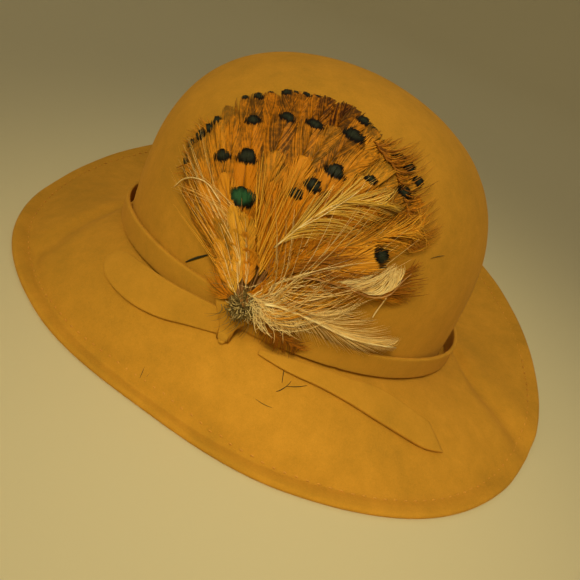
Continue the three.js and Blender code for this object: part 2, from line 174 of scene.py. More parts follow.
def brim_reach(turn):
    return BRIM_REACH * read_table(LAPPED_TURNS, BRIM_REACHES * 4, np.degrees(turn))


def brim_height(turn):
    return BRIM_LIFT * read_table(LAPPED_TURNS, BRIM_HEIGHTS * 4, np.degrees(turn))


def fade(value, a, b):
    f = np.clip((value - a) / (b - a), 0, 1)
    return f * f * (3 - 2 * f)


def turn_between(a, b):
    """The smallest signed angle between two turns, in degrees."""
    return (a - b + 180) % 360 - 180


def head_height(turn, pull=1.0):
    return HEAD_RISE + pull * (HEAD_TILT * np.cos(turn) + HEAD_DIP * np.cos(2 * turn))


def crown_point(turn, height, off=0.0):
    """A point on the crown at a height above the head line, moved off it by a distance."""
    top = CROWN_HEIGHT + off
    level = np.minimum(height, top)
    pull = (1 - (np.maximum(level, 0) / top) ** CROWN_SHOULDER) ** (1 / CROWN_ROUNDING)
    x = (HALF_WIDTH + off) * pull * np.sin(turn)
    y = -(HALF_LENGTH + off) * pull * np.cos(turn) + CROWN_LEAN_BACK * level / CROWN_HEIGHT
    z = head_height(turn, pull) + level
    return stacked(x, y, z)


def fold_depth(turn, out):
    """How far the two folds push the brim down, with a low ridge on both sides of each."""
    total = 0.0
    for fold in FOLDS:
        line = read_table(fold["out"], fold["turn"], out)
        radius = HALF_WIDTH + out * BRIM_REACH
        away = np.radians(turn_between(np.degrees(turn), line)) * radius / FOLD_WIDTH
        shape = (1 - FOLD_RIDGE * away**2) * np.exp(-(away**2))
        total = total + fold["depth"] * fade(out, *FOLD_BEGINS) * shape
    return total


def head_oval(turn):
    """Places on the oval of the head line, and the directions straight out of it."""
    oval = stacked(HALF_WIDTH * np.sin(turn), -HALF_LENGTH * np.cos(turn), 0.0)
    return oval, unit(stacked(np.sin(turn) / HALF_WIDTH, -np.cos(turn) / HALF_LENGTH, 0.0))


def brim_point(turn, out, lift=0.0):
    """A point on the brim's upper face; out runs from 0 at the crown to 1 at the edge."""
    start = head_height(turn)
    oval, outwards = head_oval(turn)
    point = oval + outwards * (brim_reach(turn) * out)[..., None]
    climb = (brim_height(turn) - start) * np.maximum(out, 0) ** BRIM_CURVE
    height = start + climb - fold_depth(turn, out)
    floor = part_way((FELT, HEM_THICKNESS), fade(out, *HEM_BEGINS)) - SQUEEZE
    h = np.clip(0.5 + 0.5 * (height - floor) / SETTLE, 0, 1)
    point[..., 2] = floor + (height - floor) * h + SETTLE * h * (1 - h) + lift
    return point


def over_brim(turn, distance, lift=0.0):
    """A point above the brim at a distance in millimetres out of the crown."""
    turn, distance = np.broadcast_arrays(np.asarray(turn, float), np.asarray(distance, float))
    return brim_point(turn, distance / brim_reach(turn), lift)


# The frame's origin is the middle of the footprint, so the formulas are moved there
edge = brim_point(np.radians(np.arange(72) * 5.0), np.ones(72))
body_middle = np.add(*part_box("felt_body")) / 2 / MM
SHIFT = (body_middle - (edge.min(0) + edge.max(0)) / 2) * (1, 1, 0)
print("the formulas are moved by", np.round(SHIFT, 3), "mm")

# %% [markdown]
# ## Making meshes
#
# A surface that is known as a grid of points becomes a closed body: an upper face, a lower face
# and rims. Loose feather barbs are the other kind of thing here: thousands of thin, tapered
# strands with three sides. Both are made from arrays, because a hat has far too many barbs for
# a modifier on each. Smooth shading hides the facets.


# %% Turn arrays into objects
WAVES = 14
# A cut edge is rounded over this many millimetres, down to this share of its thickness
CUT_EDGE = 0.8
CUT_EDGE_SHARE = 0.55


def new_object(name, points, faces, materials, face_materials=None, values=None):
    """A mesh object from points in millimetres, with named values on its points."""
    mesh = bpy.data.meshes.new(name)
    mesh.from_pydata(((points + SHIFT) * MM).tolist(), [], faces)
    mesh.polygons.foreach_set("use_smooth", [True] * len(mesh.polygons))
    for material in materials:
        mesh.materials.append(material)
    if face_materials is not None:
        mesh.polygons.foreach_set("material_index", face_materials)
    for key, array in (values or {}).items():
        attribute = mesh.attributes.new(key, "FLOAT_VECTOR", "POINT")
        attribute.data.foreach_set("vector", np.asarray(array, np.float32).ravel())
    mesh.validate()
    mesh.update()
    piece = bpy.data.objects.new(name, mesh)
    bpy.context.scene.collection.objects.link(piece)
    return piece


def seat(piece, slot, *nodes):
    """Says what carries the piece and which solids it stands for. Its slot is not used."""
    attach(piece, "root")
    if nodes:
        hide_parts(*nodes)
    triangles = sum(len(face.vertices) - 2 for face in piece.data.polygons)
    print(piece.name, "has", triangles, "triangles")
    return piece


def run_length(points, axis=0):
    """The length walked along one axis of a grid of points, from 0 at its first point."""
    steps = np.linalg.norm(np.diff(points, axis=axis), axis=-1)
    start = np.zeros_like(np.take(steps, [0], axis))
    return np.concatenate([start, np.cumsum(steps, axis)], axis)


def grid_normals(grid, wrap):
    """Normals of a grid of points; rows go round the hat when wrap is set."""
    if wrap:
        along = np.roll(grid, -1, 0) - np.roll(grid, 1, 0)
    else:
        along = np.gradient(grid, axis=0)
    across = np.gradient(grid, axis=1)
    return unit(np.cross(across, along))


def grid_faces(rows, columns, wrap, flip=False):
    """Four-sided faces between the points of a grid; wrap joins its last row to its first."""
    faces = []
    for i in range(rows if wrap else rows - 1):
        a, b = i * columns, (i + 1) % rows * columns
        for j in range(columns - 1):
            face = (a + j, a + j + 1, b + j + 1, b + j)
            faces.append(face[::-1] if flip else face)
    return faces


def wobble(points, size, seed):
    """A smooth unevenness between about -1 and 1, with humps of one size in millimetres."""
    rolls = np.random.default_rng(seed)
    total = np.zeros(points.shape[:-1])
    for _ in range(WAVES):
        direction = unit(rolls.normal(size=3))
        length = size * rolls.uniform(0.8, 2.2)
        start = rolls.uniform(0, 2 * math.pi)
        total += np.sin(2 * math.pi * (points @ direction) / length + start)
    return total / math.sqrt(WAVES)


def strip_body(name, under, material, wrap=False):
    """A strip of felt on a grid of points, with its cut edges slightly rounded."""
    normals = grid_normals(under, wrap)
    rows, columns = under.shape[:2]
    across = run_length(under, 1)
    nearness = np.minimum(across, across[:, -1:] - across)
    if not wrap:
        along = run_length(under, 0)
        nearness = np.minimum(nearness, np.minimum(along, along[-1:] - along))
    d = np.clip(nearness / CUT_EDGE, 0, 1)
    full = part_way((CUT_EDGE_SHARE, 1), np.sqrt(1 - (1 - d) ** 2))
    middle = under + normals * FELT / 2
    half = normals * (full * FELT / 2)[..., None]
    points = np.concatenate([(middle + half).reshape(-1, 3), (middle - half).reshape(-1, 3)])
    count, last, end = rows * columns, columns - 1, (rows - 1) * columns
    faces = grid_faces(rows, columns, wrap)
    faces += [tuple(v + count for v in face[::-1]) for face in faces]
    border = []
    for i in range(rows if wrap else rows - 1):
        a, b = i * columns, (i + 1) % rows * columns
        border += [(a, b), (b + last, a + last)]
    for j in range(0 if wrap else last):
        border += [(j + 1, j), (end + j, end + j + 1)]
    faces += [(a, b, b + count, a + count) for a, b in border]
    return new_object(name, points, faces, [material])


print("a cut edge of felt is rounded over", CUT_EDGE, "mm")


# %% [markdown]
# ## Wool felt
#
# Wool felt is fleece that was steamed and beaten until its scaly fibres locked. It has no weave.
# The eye sees a matt face with a very short nap, small clouds of lighter and darker fibre, and
# a soft light rim where the nap stands up against the light. Fibres are about 0.03 mm thick and
# far too fine to show here, so the bump draws small bundles of them, about 0.6 mm across.


# %% Mix the felt
def linear(code):
    """An sRGB hex colour as the linear colour that shaders want."""
    parts = [int(code[i : i + 2], 16) / 255 for i in (1, 3, 5)]
    return tuple(p / 12.92 if p <= 0.04045 else ((p + 0.055) / 1.055) ** 2.4 for p in parts) + (1.0,)


def per_mm(size):
    """The texture scale that draws features of a size in millimetres on a scene in metres."""
    return 1 / (size * MM)


def add_node(material, kind, settings=None, links=None, output=0):
    """Adds a node, sets its properties and sockets, links others to it and gives one output."""
    tree = material.node_tree
    node = tree.nodes.new(kind)
    for key, value in (settings or {}).items():
        if isinstance(key, str) and hasattr(node, key):
            setattr(node, key, value)
        else:
            node.inputs[key].default_value = value
    for key, source in (links or {}).items():
        tree.links.new(source, node.inputs[key])
    return node.outputs[output]


def new_material(name, settings):
    """A material, and its shader with what is the same all over set on the shader's sockets."""
    material = bpy.data.materials.new(name)
    material.use_nodes = True
    shader = material.node_tree.nodes["Principled BSDF"]
    for key, value in settings.items():
        shader.inputs[key].default_value = value
    return material, shader


def ramp(material, factor, stops):
    """A colour ramp with its stops given as (place, hex colour)."""
    colour = add_node(material, "ShaderNodeValToRGB", links={0: factor}, output="Color")
    elements = colour.node.color_ramp.elements
    while len(elements) < len(stops):
        elements.new(0.5)
    for element, (place, code) in zip(elements, stops):
        element.position = place
        element.color = linear(code)
    return colour


FELT_ROUGHNESS = 0.95
# Clouds of 45 mm, flecks of 9 mm and bundles of fibre of 0.6 mm
FELT_NOISES = [
    {"Scale": per_mm(45.0), "Detail": 4.0, "Roughness": 0.6},
    {"Scale": per_mm(9.0), "Detail": 6.0, "Roughness": 0.75},
    {"Scale": per_mm(0.6), "Detail": 3.0, "Roughness": 0.7, "Distortion": 1.2},
]


def wool_felt(name, dark, middle, light):
    """Felt in three tones: wide clouds and small flecks of fibre, and bundles in the bump."""
    nap = {"Sheen Weight": 0.18, "Sheen Roughness": 0.5, "Sheen Tint": linear(light)}
    matt = {"Roughness": FELT_ROUGHNESS, "Specular IOR Level": 0.25}
    material, shader = new_material(name, {**matt, **nap})
    where = add_node(material, "ShaderNodeTexCoord", output="Object")
    cloud, fleck, bundle = (
        add_node(material, "ShaderNodeTexNoise", noise, {"Vector": where}) for noise in FELT_NOISES
    )
    tone = add_node(material, "ShaderNodeMix", {"data_type": "FLOAT", 0: 0.45}, {2: cloud, 3: fleck})
    grain = add_node(material, "ShaderNodeMix", {"data_type": "FLOAT", 0: 0.3}, {2: tone, 3: bundle})
    colour = ramp(material, grain, [(0.3, dark), (0.5, middle), (0.72, light)])
    broad = {"Strength": 0.35, "Distance": 0.25 * MM}
    fine = {"Strength": 0.3, "Distance": 0.12 * MM}
    bump = add_node(material, "ShaderNodeBump", broad, {"Height": grain})
    bump = add_node(material, "ShaderNodeBump", fine, {"Height": bundle, "Normal": bump})
    material.node_tree.links.new(colour, shader.inputs["Base Color"])
    material.node_tree.links.new(bump, shader.inputs["Normal"])
    return material


mustard_felt = wool_felt("wool_felt_mustard", "#96701c", "#ba8523", "#d6992f")
band_felt = wool_felt("wool_felt_band", "#9a731d", "#ba8624", "#cf952f")
print("felt noises:", [round(noise["Scale"]) for noise in FELT_NOISES], "to the metre")

# %% [markdown]
# ## Crown and brim
#
# Both are one piece of felt. The upper face is a grid of rings that run from the top of the
# crown down its wall, round the corner at the head line and out to the edge. The lower face is
# the same grid moved inwards by the felt's thickness, and the edge is round, because there the
# felt is folded under. Blocked felt is never quite even, so the face is moved by a quarter of
# a millimetre in broad, soft humps.

# %% Build the felt body
TURNS = 320
CROWN_RINGS = 44
CORNER_RINGS = 6
BRIM_RINGS = 46
EDGE_RINGS = 5
STITCH_LINE = 7.4
STITCH_SPACING = 4.7
GROOVE_DEPTH = 0.45
GROOVE_WIDTH = 1.6
STITCH_PINCH = 0.45
HEM_SWELL = 0.22
# The felt's unevenness: height and width of its humps in millimetres, and a seed
HUMPS = [(0.22, 48, 3), (0.07, 13, 4)]
ROUND = np.radians(np.arange(TURNS) * 360.0 / TURNS)[:, None]


def felt_rings():
    """The upper face as a grid of points, and the felt's thickness there."""
    climb = 1 - np.arange(CROWN_RINGS) / (CROWN_RINGS - 1)
    height = part_way((BREAK_RADIUS, CROWN_HEIGHT), np.sin(climb * math.pi / 2))
    crown = crown_point(ROUND, height)
    t = (np.arange(1, CORNER_RINGS + 1) / (CORNER_RINGS + 1))[:, None]
    wall = crown_point(ROUND, BREAK_RADIUS)
    corner = brim_point(ROUND, ROUND * 0)
    shelf = over_brim(ROUND, BREAK_RADIUS)
    bend = (1 - t) ** 2 * wall + 2 * t * (1 - t) * corner + t**2 * shelf
    reach = brim_reach(ROUND)
    distance = part_way((BREAK_RADIUS, reach - HEM_THICKNESS / 2), np.linspace(0, 1, BRIM_RINGS))
    brim = over_brim(ROUND, distance)
    from_edge = reach - distance
    groove = np.exp(-(((from_edge - STITCH_LINE) / GROOVE_WIDTH) ** 2))
    arc = run_length(brim[:, -1])[:, None]
    pinch = 0.5 + 0.5 * np.cos(2 * math.pi * arc / STITCH_SPACING)
    swell = np.exp(-(((from_edge - STITCH_LINE / 2) / (STITCH_LINE / 2.4)) ** 2))
    brim[..., 2] -= GROOVE_DEPTH * groove * part_way((1, pinch), STITCH_PINCH)
    brim[..., 2] += HEM_SWELL * swell
    folded = fade(-from_edge, -STITCH_LINE - 2, -STITCH_LINE + 1.5)
    plain = np.full((TURNS, CROWN_RINGS + CORNER_RINGS), FELT)
    walls = np.concatenate([plain, part_way((FELT, HEM_THICKNESS), folded)], 1)
    return np.concatenate([crown, bend, brim], 1), walls


def felt_body():
    upper, walls = felt_rings()
    normals = grid_normals(upper, True)
    normals[:, 0] = (0, 0, 1)
    uneven = sum(height * wobble(upper, width, seed) for height, width, seed in HUMPS)
    rest = fade(upper[..., 2], HEM_THICKNESS, HEM_THICKNESS + 3)
    upper = upper + normals * (uneven * rest)[..., None]
    upper[:, 0] = upper[:, 0].mean(0)
    lower = upper - normals * walls[..., None]
    lower[..., 2] = np.maximum(lower[..., 2], 0)
    lower[:, 0] = lower[:, 0].mean(0)
    middle = (upper[:, -1] + lower[:, -1]) / 2
    half = (upper[:, -1] - lower[:, -1]) / 2
    out = unit(upper[:, -1] - upper[:, -2]) * HEM_THICKNESS / 2
    angles = np.arange(1, EDGE_RINGS + 1) * math.pi / (EDGE_RINGS + 1)
    rings = np.stack([middle + half * math.cos(a) + out * math.sin(a) for a in angles], 1)
    rings[..., 2] = np.maximum(rings[..., 2], 0)
    section = np.concatenate([upper[:, 1:], rings, lower[:, :0:-1]], 1)
    columns = section.shape[1]
    faces = grid_faces(TURNS, columns, True)
    points = np.concatenate([section.reshape(-1, 3), [upper[0, 0]], [lower[0, 0]]])
    top, under = len(points) - 2, len(points) - 1
    for i in range(TURNS):
        a, b = i * columns, (i + 1) % TURNS * columns
        faces.append((a, b, top))
        faces.append((b + columns - 1, a + columns - 1, under))
    return new_object("hat_felt", points, faces, [mustard_felt])


seat(felt_body(), "felt", "felt_body")

# %% [markdown]
# ## Band, tab and ties
#
# The band is a strip cut from the same felt, a finger's breadth high. It stands a little off
# the crown at both sides. Its ends are tied under a tab and lie on the brim. A cut edge of felt
# is square but a little fuzzy, so each strip gets its edges rounded by less than a millimetre.

# %% Build the strips
BAND_HEIGHT = 11.0
BAND_SLACK = 3.6
BAND_SLACK_WIDTH = 24.0
BAND_SLACK_TURNS = (96, 284)
BAND_FOOT = BREAK_RADIUS + GAP
BAND_FACE = GAP + FELT
# The band's upper edge isn't quite even: height in millimetres, waves all round, start
BAND_EASE = [(0.35, 3, 1.0), (0.25, 7, 0.0)]
SEAM_TURN = 37.0
SEAM_SLANT = 4.0
SEAM_DEPTH = 0.5
SEAM_WIDTH = 0.45
TAB_TURN = 8.0
TAB_WIDTH = 17.0
TAB_DEPTH = 1.2
TAB_TAPER = 0.62
TAB_BEND = 2.2
# The tab ends in a point on the brim: how far out past the band, and its share of the width
TAB_TIP = [(0.4, 0.32), (1.0, 0.24), (1.6, 0.16), (2.1, 0.06)]
# In the picture the ties run under the tab, so it stands off the band by more than they do
TAB_LOOP = 2.6
TIE_WIDTH = 13.0
TIE_CLEARANCE = 0.4
TIE_STEPS = 64
LEFT_TIE = {
    "turn": [-33.5, -31.5, -28, -22, -15, -8, -2, 6.5],
    "inner": [0.52, 0.38, 0.30, 0.26, 0.25, 0.25, 0.24, 0.20],
    "outer": [0.80, 0.96, 1.06, 1.04, 0.92, 0.74, 0.54, 0.32],
    "lift": [0.02, 0.03, 0.08, 0.20, 0.36, 0.50, 0.62, 0.68],
}
RIGHT_TIE = {
    "turn": [17, 25, 34, 42, 49, 54, 58.5, 63],
    "inner": [0.30, 0.22, 0.21, 0.30, 0.42, 0.70, 1.15, 1.72],
    "outer": [0.40, 0.56, 0.72, 1.04, 1.50, 1.92, 2.36, 2.66],
    "lift": [0.02, 0.02, 0.02, 0.02, 0.02, 0.02, 0.02, 0.02],
}
STRIP_STOPS = np.array([0, 0.02, 0.05, 0.09, 0.2, 0.35, 0.5, 0.65, 0.8, 0.91, 0.95, 0.98, 1.0])


def band_off(turn):
    """How far the band stands off the crown at a turn."""
    away = [turn_between(np.degrees(turn), place) / BAND_SLACK_WIDTH for place in BAND_SLACK_TURNS]
    return GAP + BAND_SLACK * sum(np.exp(-(part**2)) for part in away)


def band_strip():
    level = STRIP_STOPS[::-1]
    ease = sum(height * np.sin(waves * ROUND + start) for height, waves, start in BAND_EASE)
    height = BAND_FOOT + BAND_HEIGHT * level + ease * fade(level, 0, 1)
    from_seam = turn_between(np.degrees(ROUND), SEAM_TURN + SEAM_SLANT * level) / SEAM_WIDTH
    dent = SEAM_DEPTH * np.exp(-(from_seam**2)) * fade(level, 0.7, 0.4)
    under = crown_point(ROUND, height, band_off(ROUND) - dent)
    return strip_body("band_felt", under, band_felt, wrap=True)


def tie_strip(name, rows):
    ends = STRIP_STOPS[1:4] / 2
    share = np.concatenate([[0], ends, np.linspace(0.06, 0.94, TIE_STEPS), 1 - ends[::-1], [1]])
    place = part_way((rows["turn"][0], rows["turn"][-1]), share[:, None])
    inner, outer, lift = (
        TIE_WIDTH * read_table(rows["turn"], rows[key], place) for key in ("inner", "outer", "lift")
    )
    distance = part_way((inner, outer), STRIP_STOPS)
    under = over_brim(np.radians(place), distance, TIE_CLEARANCE + lift * (1 - STRIP_STOPS))
    return strip_body(name, under, band_felt)


def tab_strip():
    """The tab folds over the band's top edge and hangs down in front of it."""
    out = BAND_FACE + TAB_LOOP
    over = BAND_FOOT + BAND_HEIGHT + GAP
    path = [(GAP, over), (out * 0.5, over)]
    for a in np.linspace(0, math.pi / 2, 7):
        path.append((out + TAB_BEND * (math.sin(a) - 1), over + TAB_BEND * (math.cos(a) - 1)))
    for share in (0.2, 0.4, 0.6, 0.8, 0.93, 0.97, 1.0):
        path.append((out, part_way((over - TAB_BEND, BAND_FOOT + GAP), share)))
    profile = np.array(path)
    half_turn = TAB_WIDTH / 2 / HALF_LENGTH * (2 * STRIP_STOPS - 1)[:, None]
    waist = 1 - TAB_TAPER * fade(-profile[:, 1], -BAND_FOOT - BAND_HEIGHT, -BAND_FOOT)
    turn = math.radians(TAB_TURN) + half_turn * waist
    oval, outwards = head_oval(turn)
    under = oval + outwards * profile[:, :1]
    under[..., 2] = head_height(turn) + profile[:, 1]
    reach, width = np.array(TAB_TIP).T
    tip = over_brim(math.radians(TAB_TURN) + half_turn * width, out + reach, TIE_CLEARANCE)
    return strip_body("tab_felt", np.concatenate([under, tip], 1), band_felt)


seat(band_strip(), "felt_band", "hat_band")
seat(tie_strip("tie_left_felt", LEFT_TIE), "felt_band", "tie_left")
seat(tie_strip("tie_right_felt", RIGHT_TIE), "felt_band", "tie_right")
seat(tab_strip(), "felt_band", "band_tab")

# %% [markdown]
# ## Walking over the crown
#
# Feathers lie on the crown like a map on a globe. A place on that map is a distance sideways and
# a distance up from the knot, both along the felt, and a lift off it. Feathers pass over the tab
# and the band first and come down to the crown above them.

# %% Map the crown
KNOT_TURN = 9.0
KNOT_HEIGHT = 9.0
FEATHER = 1.1
FEATHER_GAP = 0.6
FEATHER_DROP_START = 3.0
FEATHER_DROP_LENGTH = 16.0
# Feathers come down beside the tab between these shares of its width
TAB_SIDES = (0.6, 1.6)
WALK_STEP = 0.5
WALK_TEST = 0.02


def walk_heights():
    """Heights on the crown that are one step of the walk apart, measured along the felt."""
    heights = [KNOT_HEIGHT]
    turn = math.radians(KNOT_TURN)
    while heights[-1] < CROWN_HEIGHT - 0.2:
        here, there = crown_point(turn, heights[-1]), crown_point(turn, heights[-1] + WALK_TEST)
        climb = WALK_TEST * WALK_STEP / np.linalg.norm(there - here)
        heights.append(min(heights[-1] + climb, CROWN_HEIGHT))
    return np.array(heights)


WALK = walk_heights()
WALK_AT = np.arange(len(WALK)) * WALK_STEP


def feathers_off(side, up):
    """How far off the crown the feathers lie: over the tab, over the band or on the felt."""
    over_band = BAND_FACE + FEATHER_GAP
    over_tab = BAND_FACE + TAB_DEPTH + FELT + 1.5 * FEATHER_GAP
    beside_tab = fade(np.abs(side) / TAB_WIDTH, *TAB_SIDES)
    drop = BAND_FOOT + BAND_HEIGHT + GAP + FELT + FEATHER_DROP_START - KNOT_HEIGHT
    above_band = fade(up, drop, drop + FEATHER_DROP_LENGTH)
    return part_way((part_way((over_tab, over_band), beside_tab), FEATHER_GAP), above_band)


def crown_map(side, up, off):
    """A point off the crown, at distances sideways and up from the knot along the felt."""
    height = np.interp(up, WALK_AT, WALK) + np.minimum(up, 0)
    radius = np.maximum(crown_point(math.pi / 2, height)[..., 0], 1)
    return crown_point(math.radians(KNOT_TURN) + side / radius, height, off)


def over_crown(side, up, lift):
    return crown_map(side, up, feathers_off(side, up) + lift)


print("the walk to the top of the crown is", WALK_AT[-1], "mm long")

# %% [markdown]
# ## Strands
#
# A barb is a flat, tapered hair. Here it is a strand with three long sides: two lie on the
# vane and one ridge stands up, so that light draws each barb. A store collects strands until
# they are made into one mesh. Each point of a strand keeps its place on the feather, from which
# the material works out the colour.


# %% Collect strands
CORNERS = 3


class Store:
    """Points, faces and named values of many strands."""

    def __init__(self):
        self.points, self.faces, self.kinds, self.place, self.look = [], [], [], [], []
        self.count = 0

    def add(self, centre, normal, width, ridge, place, look, kind=0):
        """centre and normal are strands x stops x 3, width and ridge strands x stops."""
        strands, stops = centre.shape[:2]
        along = unit(np.gradient(centre, axis=1))
        across = unit(np.cross(along, normal))
        half = across * (width / 2)[..., None]
        crest = centre + normal * ridge[..., None]
        self.points.append(np.stack([centre - half, centre + half, crest], 2).reshape(-1, 3))
        self.place.append(np.repeat(place, CORNERS, axis=1).reshape(-1, 3))
        self.look.append(np.repeat(look, CORNERS * stops, axis=0))
        for first in range(self.count, self.count + strands * stops * CORNERS, stops * CORNERS):
            end = first + CORNERS * (stops - 1)
            self.faces.append((first, first + 1, first + 2))
            for a in range(first, end, CORNERS):
                b = a + CORNERS
                for c, d in ((0, 1), (1, 2), (2, 0)):
                    self.faces.append((a + c, b + c, b + d, a + d))
            self.faces.append((end, end + 2, end + 1))
        self.kinds += [kind] * (len(self.faces) - len(self.kinds))
        self.count += strands * stops * CORNERS

    def make(self, name, materials):
        values = {"barb_place": np.concatenate(self.place), "barb_look": np.concatenate(self.look)}
        points = np.concatenate(self.points)
        return new_object(name, points, self.faces, materials, self.kinds, values)


def lay(store, surface, path, lift, width, ridge, place, look, kind=0):
    """Lays strands on a surface; path is strands x stops x 2 places on its map."""
    centre = surface(path[..., 0], path[..., 1], lift)
    above = surface(path[..., 0], path[..., 1], lift + 1.0)
    store.add(centre, unit(above - centre), width, ridge, place, look, kind)


print("a strand has", CORNERS, "points at each of its places")

# %% [markdown]
# ## One feather
#
# A body feather of a pheasant has a thin quill, long barbs that leave it at a slant, and a
# round tip with a dark spot. Barbs cling together in small groups, and a worn feather shows
# gaps between the groups. Each barb is drawn from the quill to the feather's outline, and
# groups are turned a little against each other.

# %% Draw a feather
KNOT = (2.0, 8.5)
BARB_TAPER = np.array([1.0, 1.0, 0.9, 0.7, 0.3])
BARB_RIDGE = 0.15
BARB_BEND = math.radians(9.0)
BARB_JITTER = 0.3
VANE_END = 0.985
# Share of the vane's full width at its foot
VANE_FOOT = 0.42
# Degrees between quill and barb, low on the feather and at its tip
SLANT = (33.0, 11.0)
# Chance that a barb starts a new group, and how far groups differ: degrees, share, millimetres
NEW_GROUP = 0.16
GROUPS_DIFFER = (3.0, 0.05, 0.14)
CROWNING = 0.6
SHORTEST_BARB = 0.8
HALVINGS = 24
# Shares of the length over which a tip curls up, and the least height off the felt
CURL_ZONE = (0.8, 1.05)
LOWEST = 0.1
# A quill stops short of the tip, lies over the vane and tapers
QUILL_STOPS = 14
QUILL_END = 0.9
QUILL_LIFT = 0.7
QUILL_TAPER = 0.85
QUILL_RIDGE = 0.6
draw = np.random.default_rng(11)


def heading_vector(heading):
    angle = np.radians(heading)
    return np.stack([np.sin(angle), np.cos(angle)], -1)


def vane_outline(t, half_width, widest, begin):
    """Half the vane's width at a share of the feather's length."""
    tip = np.sqrt(np.clip(1 - ((t - widest) / (1 - widest)) ** 2, 0, 1))
    foot = part_way((VANE_FOOT, 1), fade(t, begin - 0.1, widest))
    return half_width * np.where(t > widest, tip, foot)


def quill_path(foot, tip, bow, share):
    """Places along a bowed quill and the unit vector along it."""
    foot, tip = np.asarray(foot, float), np.asarray(tip, float)
    chord = tip - foot
    side = np.array([chord[1], -chord[0]])
    place = foot + chord * share[..., None] + side * (bow * np.sin(math.pi * share))[..., None]
    course = chord + side * (bow * math.pi * np.cos(math.pi * share))[..., None]
    return place, unit(course)


def feather(
    store, tip, width, lift, foot=KNOT, begin=0.3, bow=0.0, spot=0.0, gold=0.0, widest=0.8,
    fray=0.5, spacing=0.8, thickness=0.85, quill=0.55, curl=0.6, tone=(0.3, 0.9),
):
    """foot and tip are places on the crown's map; lift is the height at foot and at tip."""
    length = float(np.linalg.norm(np.subtract(tip, foot)))
    count = max(int(length * (1 - begin) / spacing), 8)
    tone = draw.uniform(*tone)
    for side in (-1, 1):
        share = np.arange(count) + draw.uniform(-BARB_JITTER, BARB_JITTER, count)
        share = np.clip(part_way((begin, VANE_END), share / (count - 1)), begin, VANE_END)
        groups = np.cumsum(draw.random(count) < NEW_GROUP)
        turned, shortened, lifted = (
            draw.normal(0, most * fray, groups[-1] + 1)[groups] for most in GROUPS_DIFFER
        )
        slant = part_way(SLANT, fade(share, 0.3, 1.0)) + turned + draw.normal(0, fray, count)
        slant = np.radians(np.clip(slant, 6, 85))
        # Where each barb meets the outline is found by halving
        low, high = np.zeros(count), np.full(count, width * 2.5)
        for _ in range(HALVINGS):
            middle = (low + high) / 2
            ahead = share + middle * np.cos(slant) / length
            inside = middle * np.sin(slant) < vane_outline(ahead, width / 2, widest, begin)
            low, high = np.where(inside, middle, low), np.where(inside, high, middle)
        reach = low * (1 + shortened + draw.normal(0, 0.01 + 0.05 * fray, count))
        reach = np.maximum(reach, SHORTEST_BARB)[:, None]
        t = np.linspace(0, 1, len(BARB_TAPER))
        start, finish = (slant + BARB_BEND)[:, None], slant[:, None]
        out = reach * (np.sin(start) * t * (1 - t) + np.sin(finish) * t * t)
        on = reach * (np.cos(start) * t * (1 - t) + np.cos(finish) * t * t)
        root, course = quill_path(foot, tip, bow, share)
        sideways = np.stack([course[:, 1], -course[:, 0]], -1) * side
        route = root[:, None] + course[:, None] * on[..., None] + sideways[:, None] * out[..., None]
        along = np.clip(share[:, None] + on / length, 0, 1.2)
        hump = CROWNING * (1 - (out / (width / 2)) ** 2)
        height = part_way(lift, along) + hump + lifted[:, None] * t
        height = np.maximum(height + curl * fade(along, *CURL_ZONE), LOWEST)
        size = np.broadcast_to(BARB_TAPER * thickness, route.shape[:2])
        place = stacked(out * side, (1 - along) * length, tone)
        look = stacked(draw.random(count), spot, gold)
        lay(store, over_crown, route, height, size, size * BARB_RIDGE, place, look)
    share = np.linspace(0, QUILL_END, QUILL_STOPS)[None, :]
    route, _ = quill_path(foot, tip, bow, share)
    height = part_way(lift, share) + QUILL_LIFT + curl * fade(share, *CURL_ZONE)
    size = quill * (1 - QUILL_TAPER * share)
    place = stacked(0.0, (1 - share) * length, share)
    ridge = size * QUILL_RIDGE
    lay(store, over_crown, route, height, size, ridge, place, quill_look(gold), kind=1)


def quill_look(gold):
    return np.array([[0.5, 0.0, gold]])


print("a barb has", len(BARB_TAPER), "places, and a quill has", QUILL_STOPS)


# %% [markdown]
# ## Combed locks
#
# Long loose barbs don't fill an outline. They sweep from the quill to a far border, almost side
# by side. Two smooth curves through a few given points say where they start and where
# they end, and each barb bends away from the quill's own direction.


# %% Comb barbs from a quill to a border
COMB_STOPS = 7
COMB_RIDGE = 0.5
COMB_TAPER = 0.8
# Barbs differ in how far on they end and in their width, by these factors
COMB_ADVANCES = (0.75, 1.25)
COMB_WIDTHS = (0.6, 1.25)
RIB_STOPS = 22
RIB_RIDGE = 0.7
# Strands without a tip of their own say that they are this far from one, in millimetres
FAR_FROM_TIP = 12.0


def curve(points, share):
    """A smooth curve through a few places on the map."""
    keys = np.arange(len(points))
    values = np.asarray(points, float)
    at = np.asarray(share) * (len(points) - 1)
    return np.stack([read_table(keys, values[:, k], at) for k in range(2)], -1)


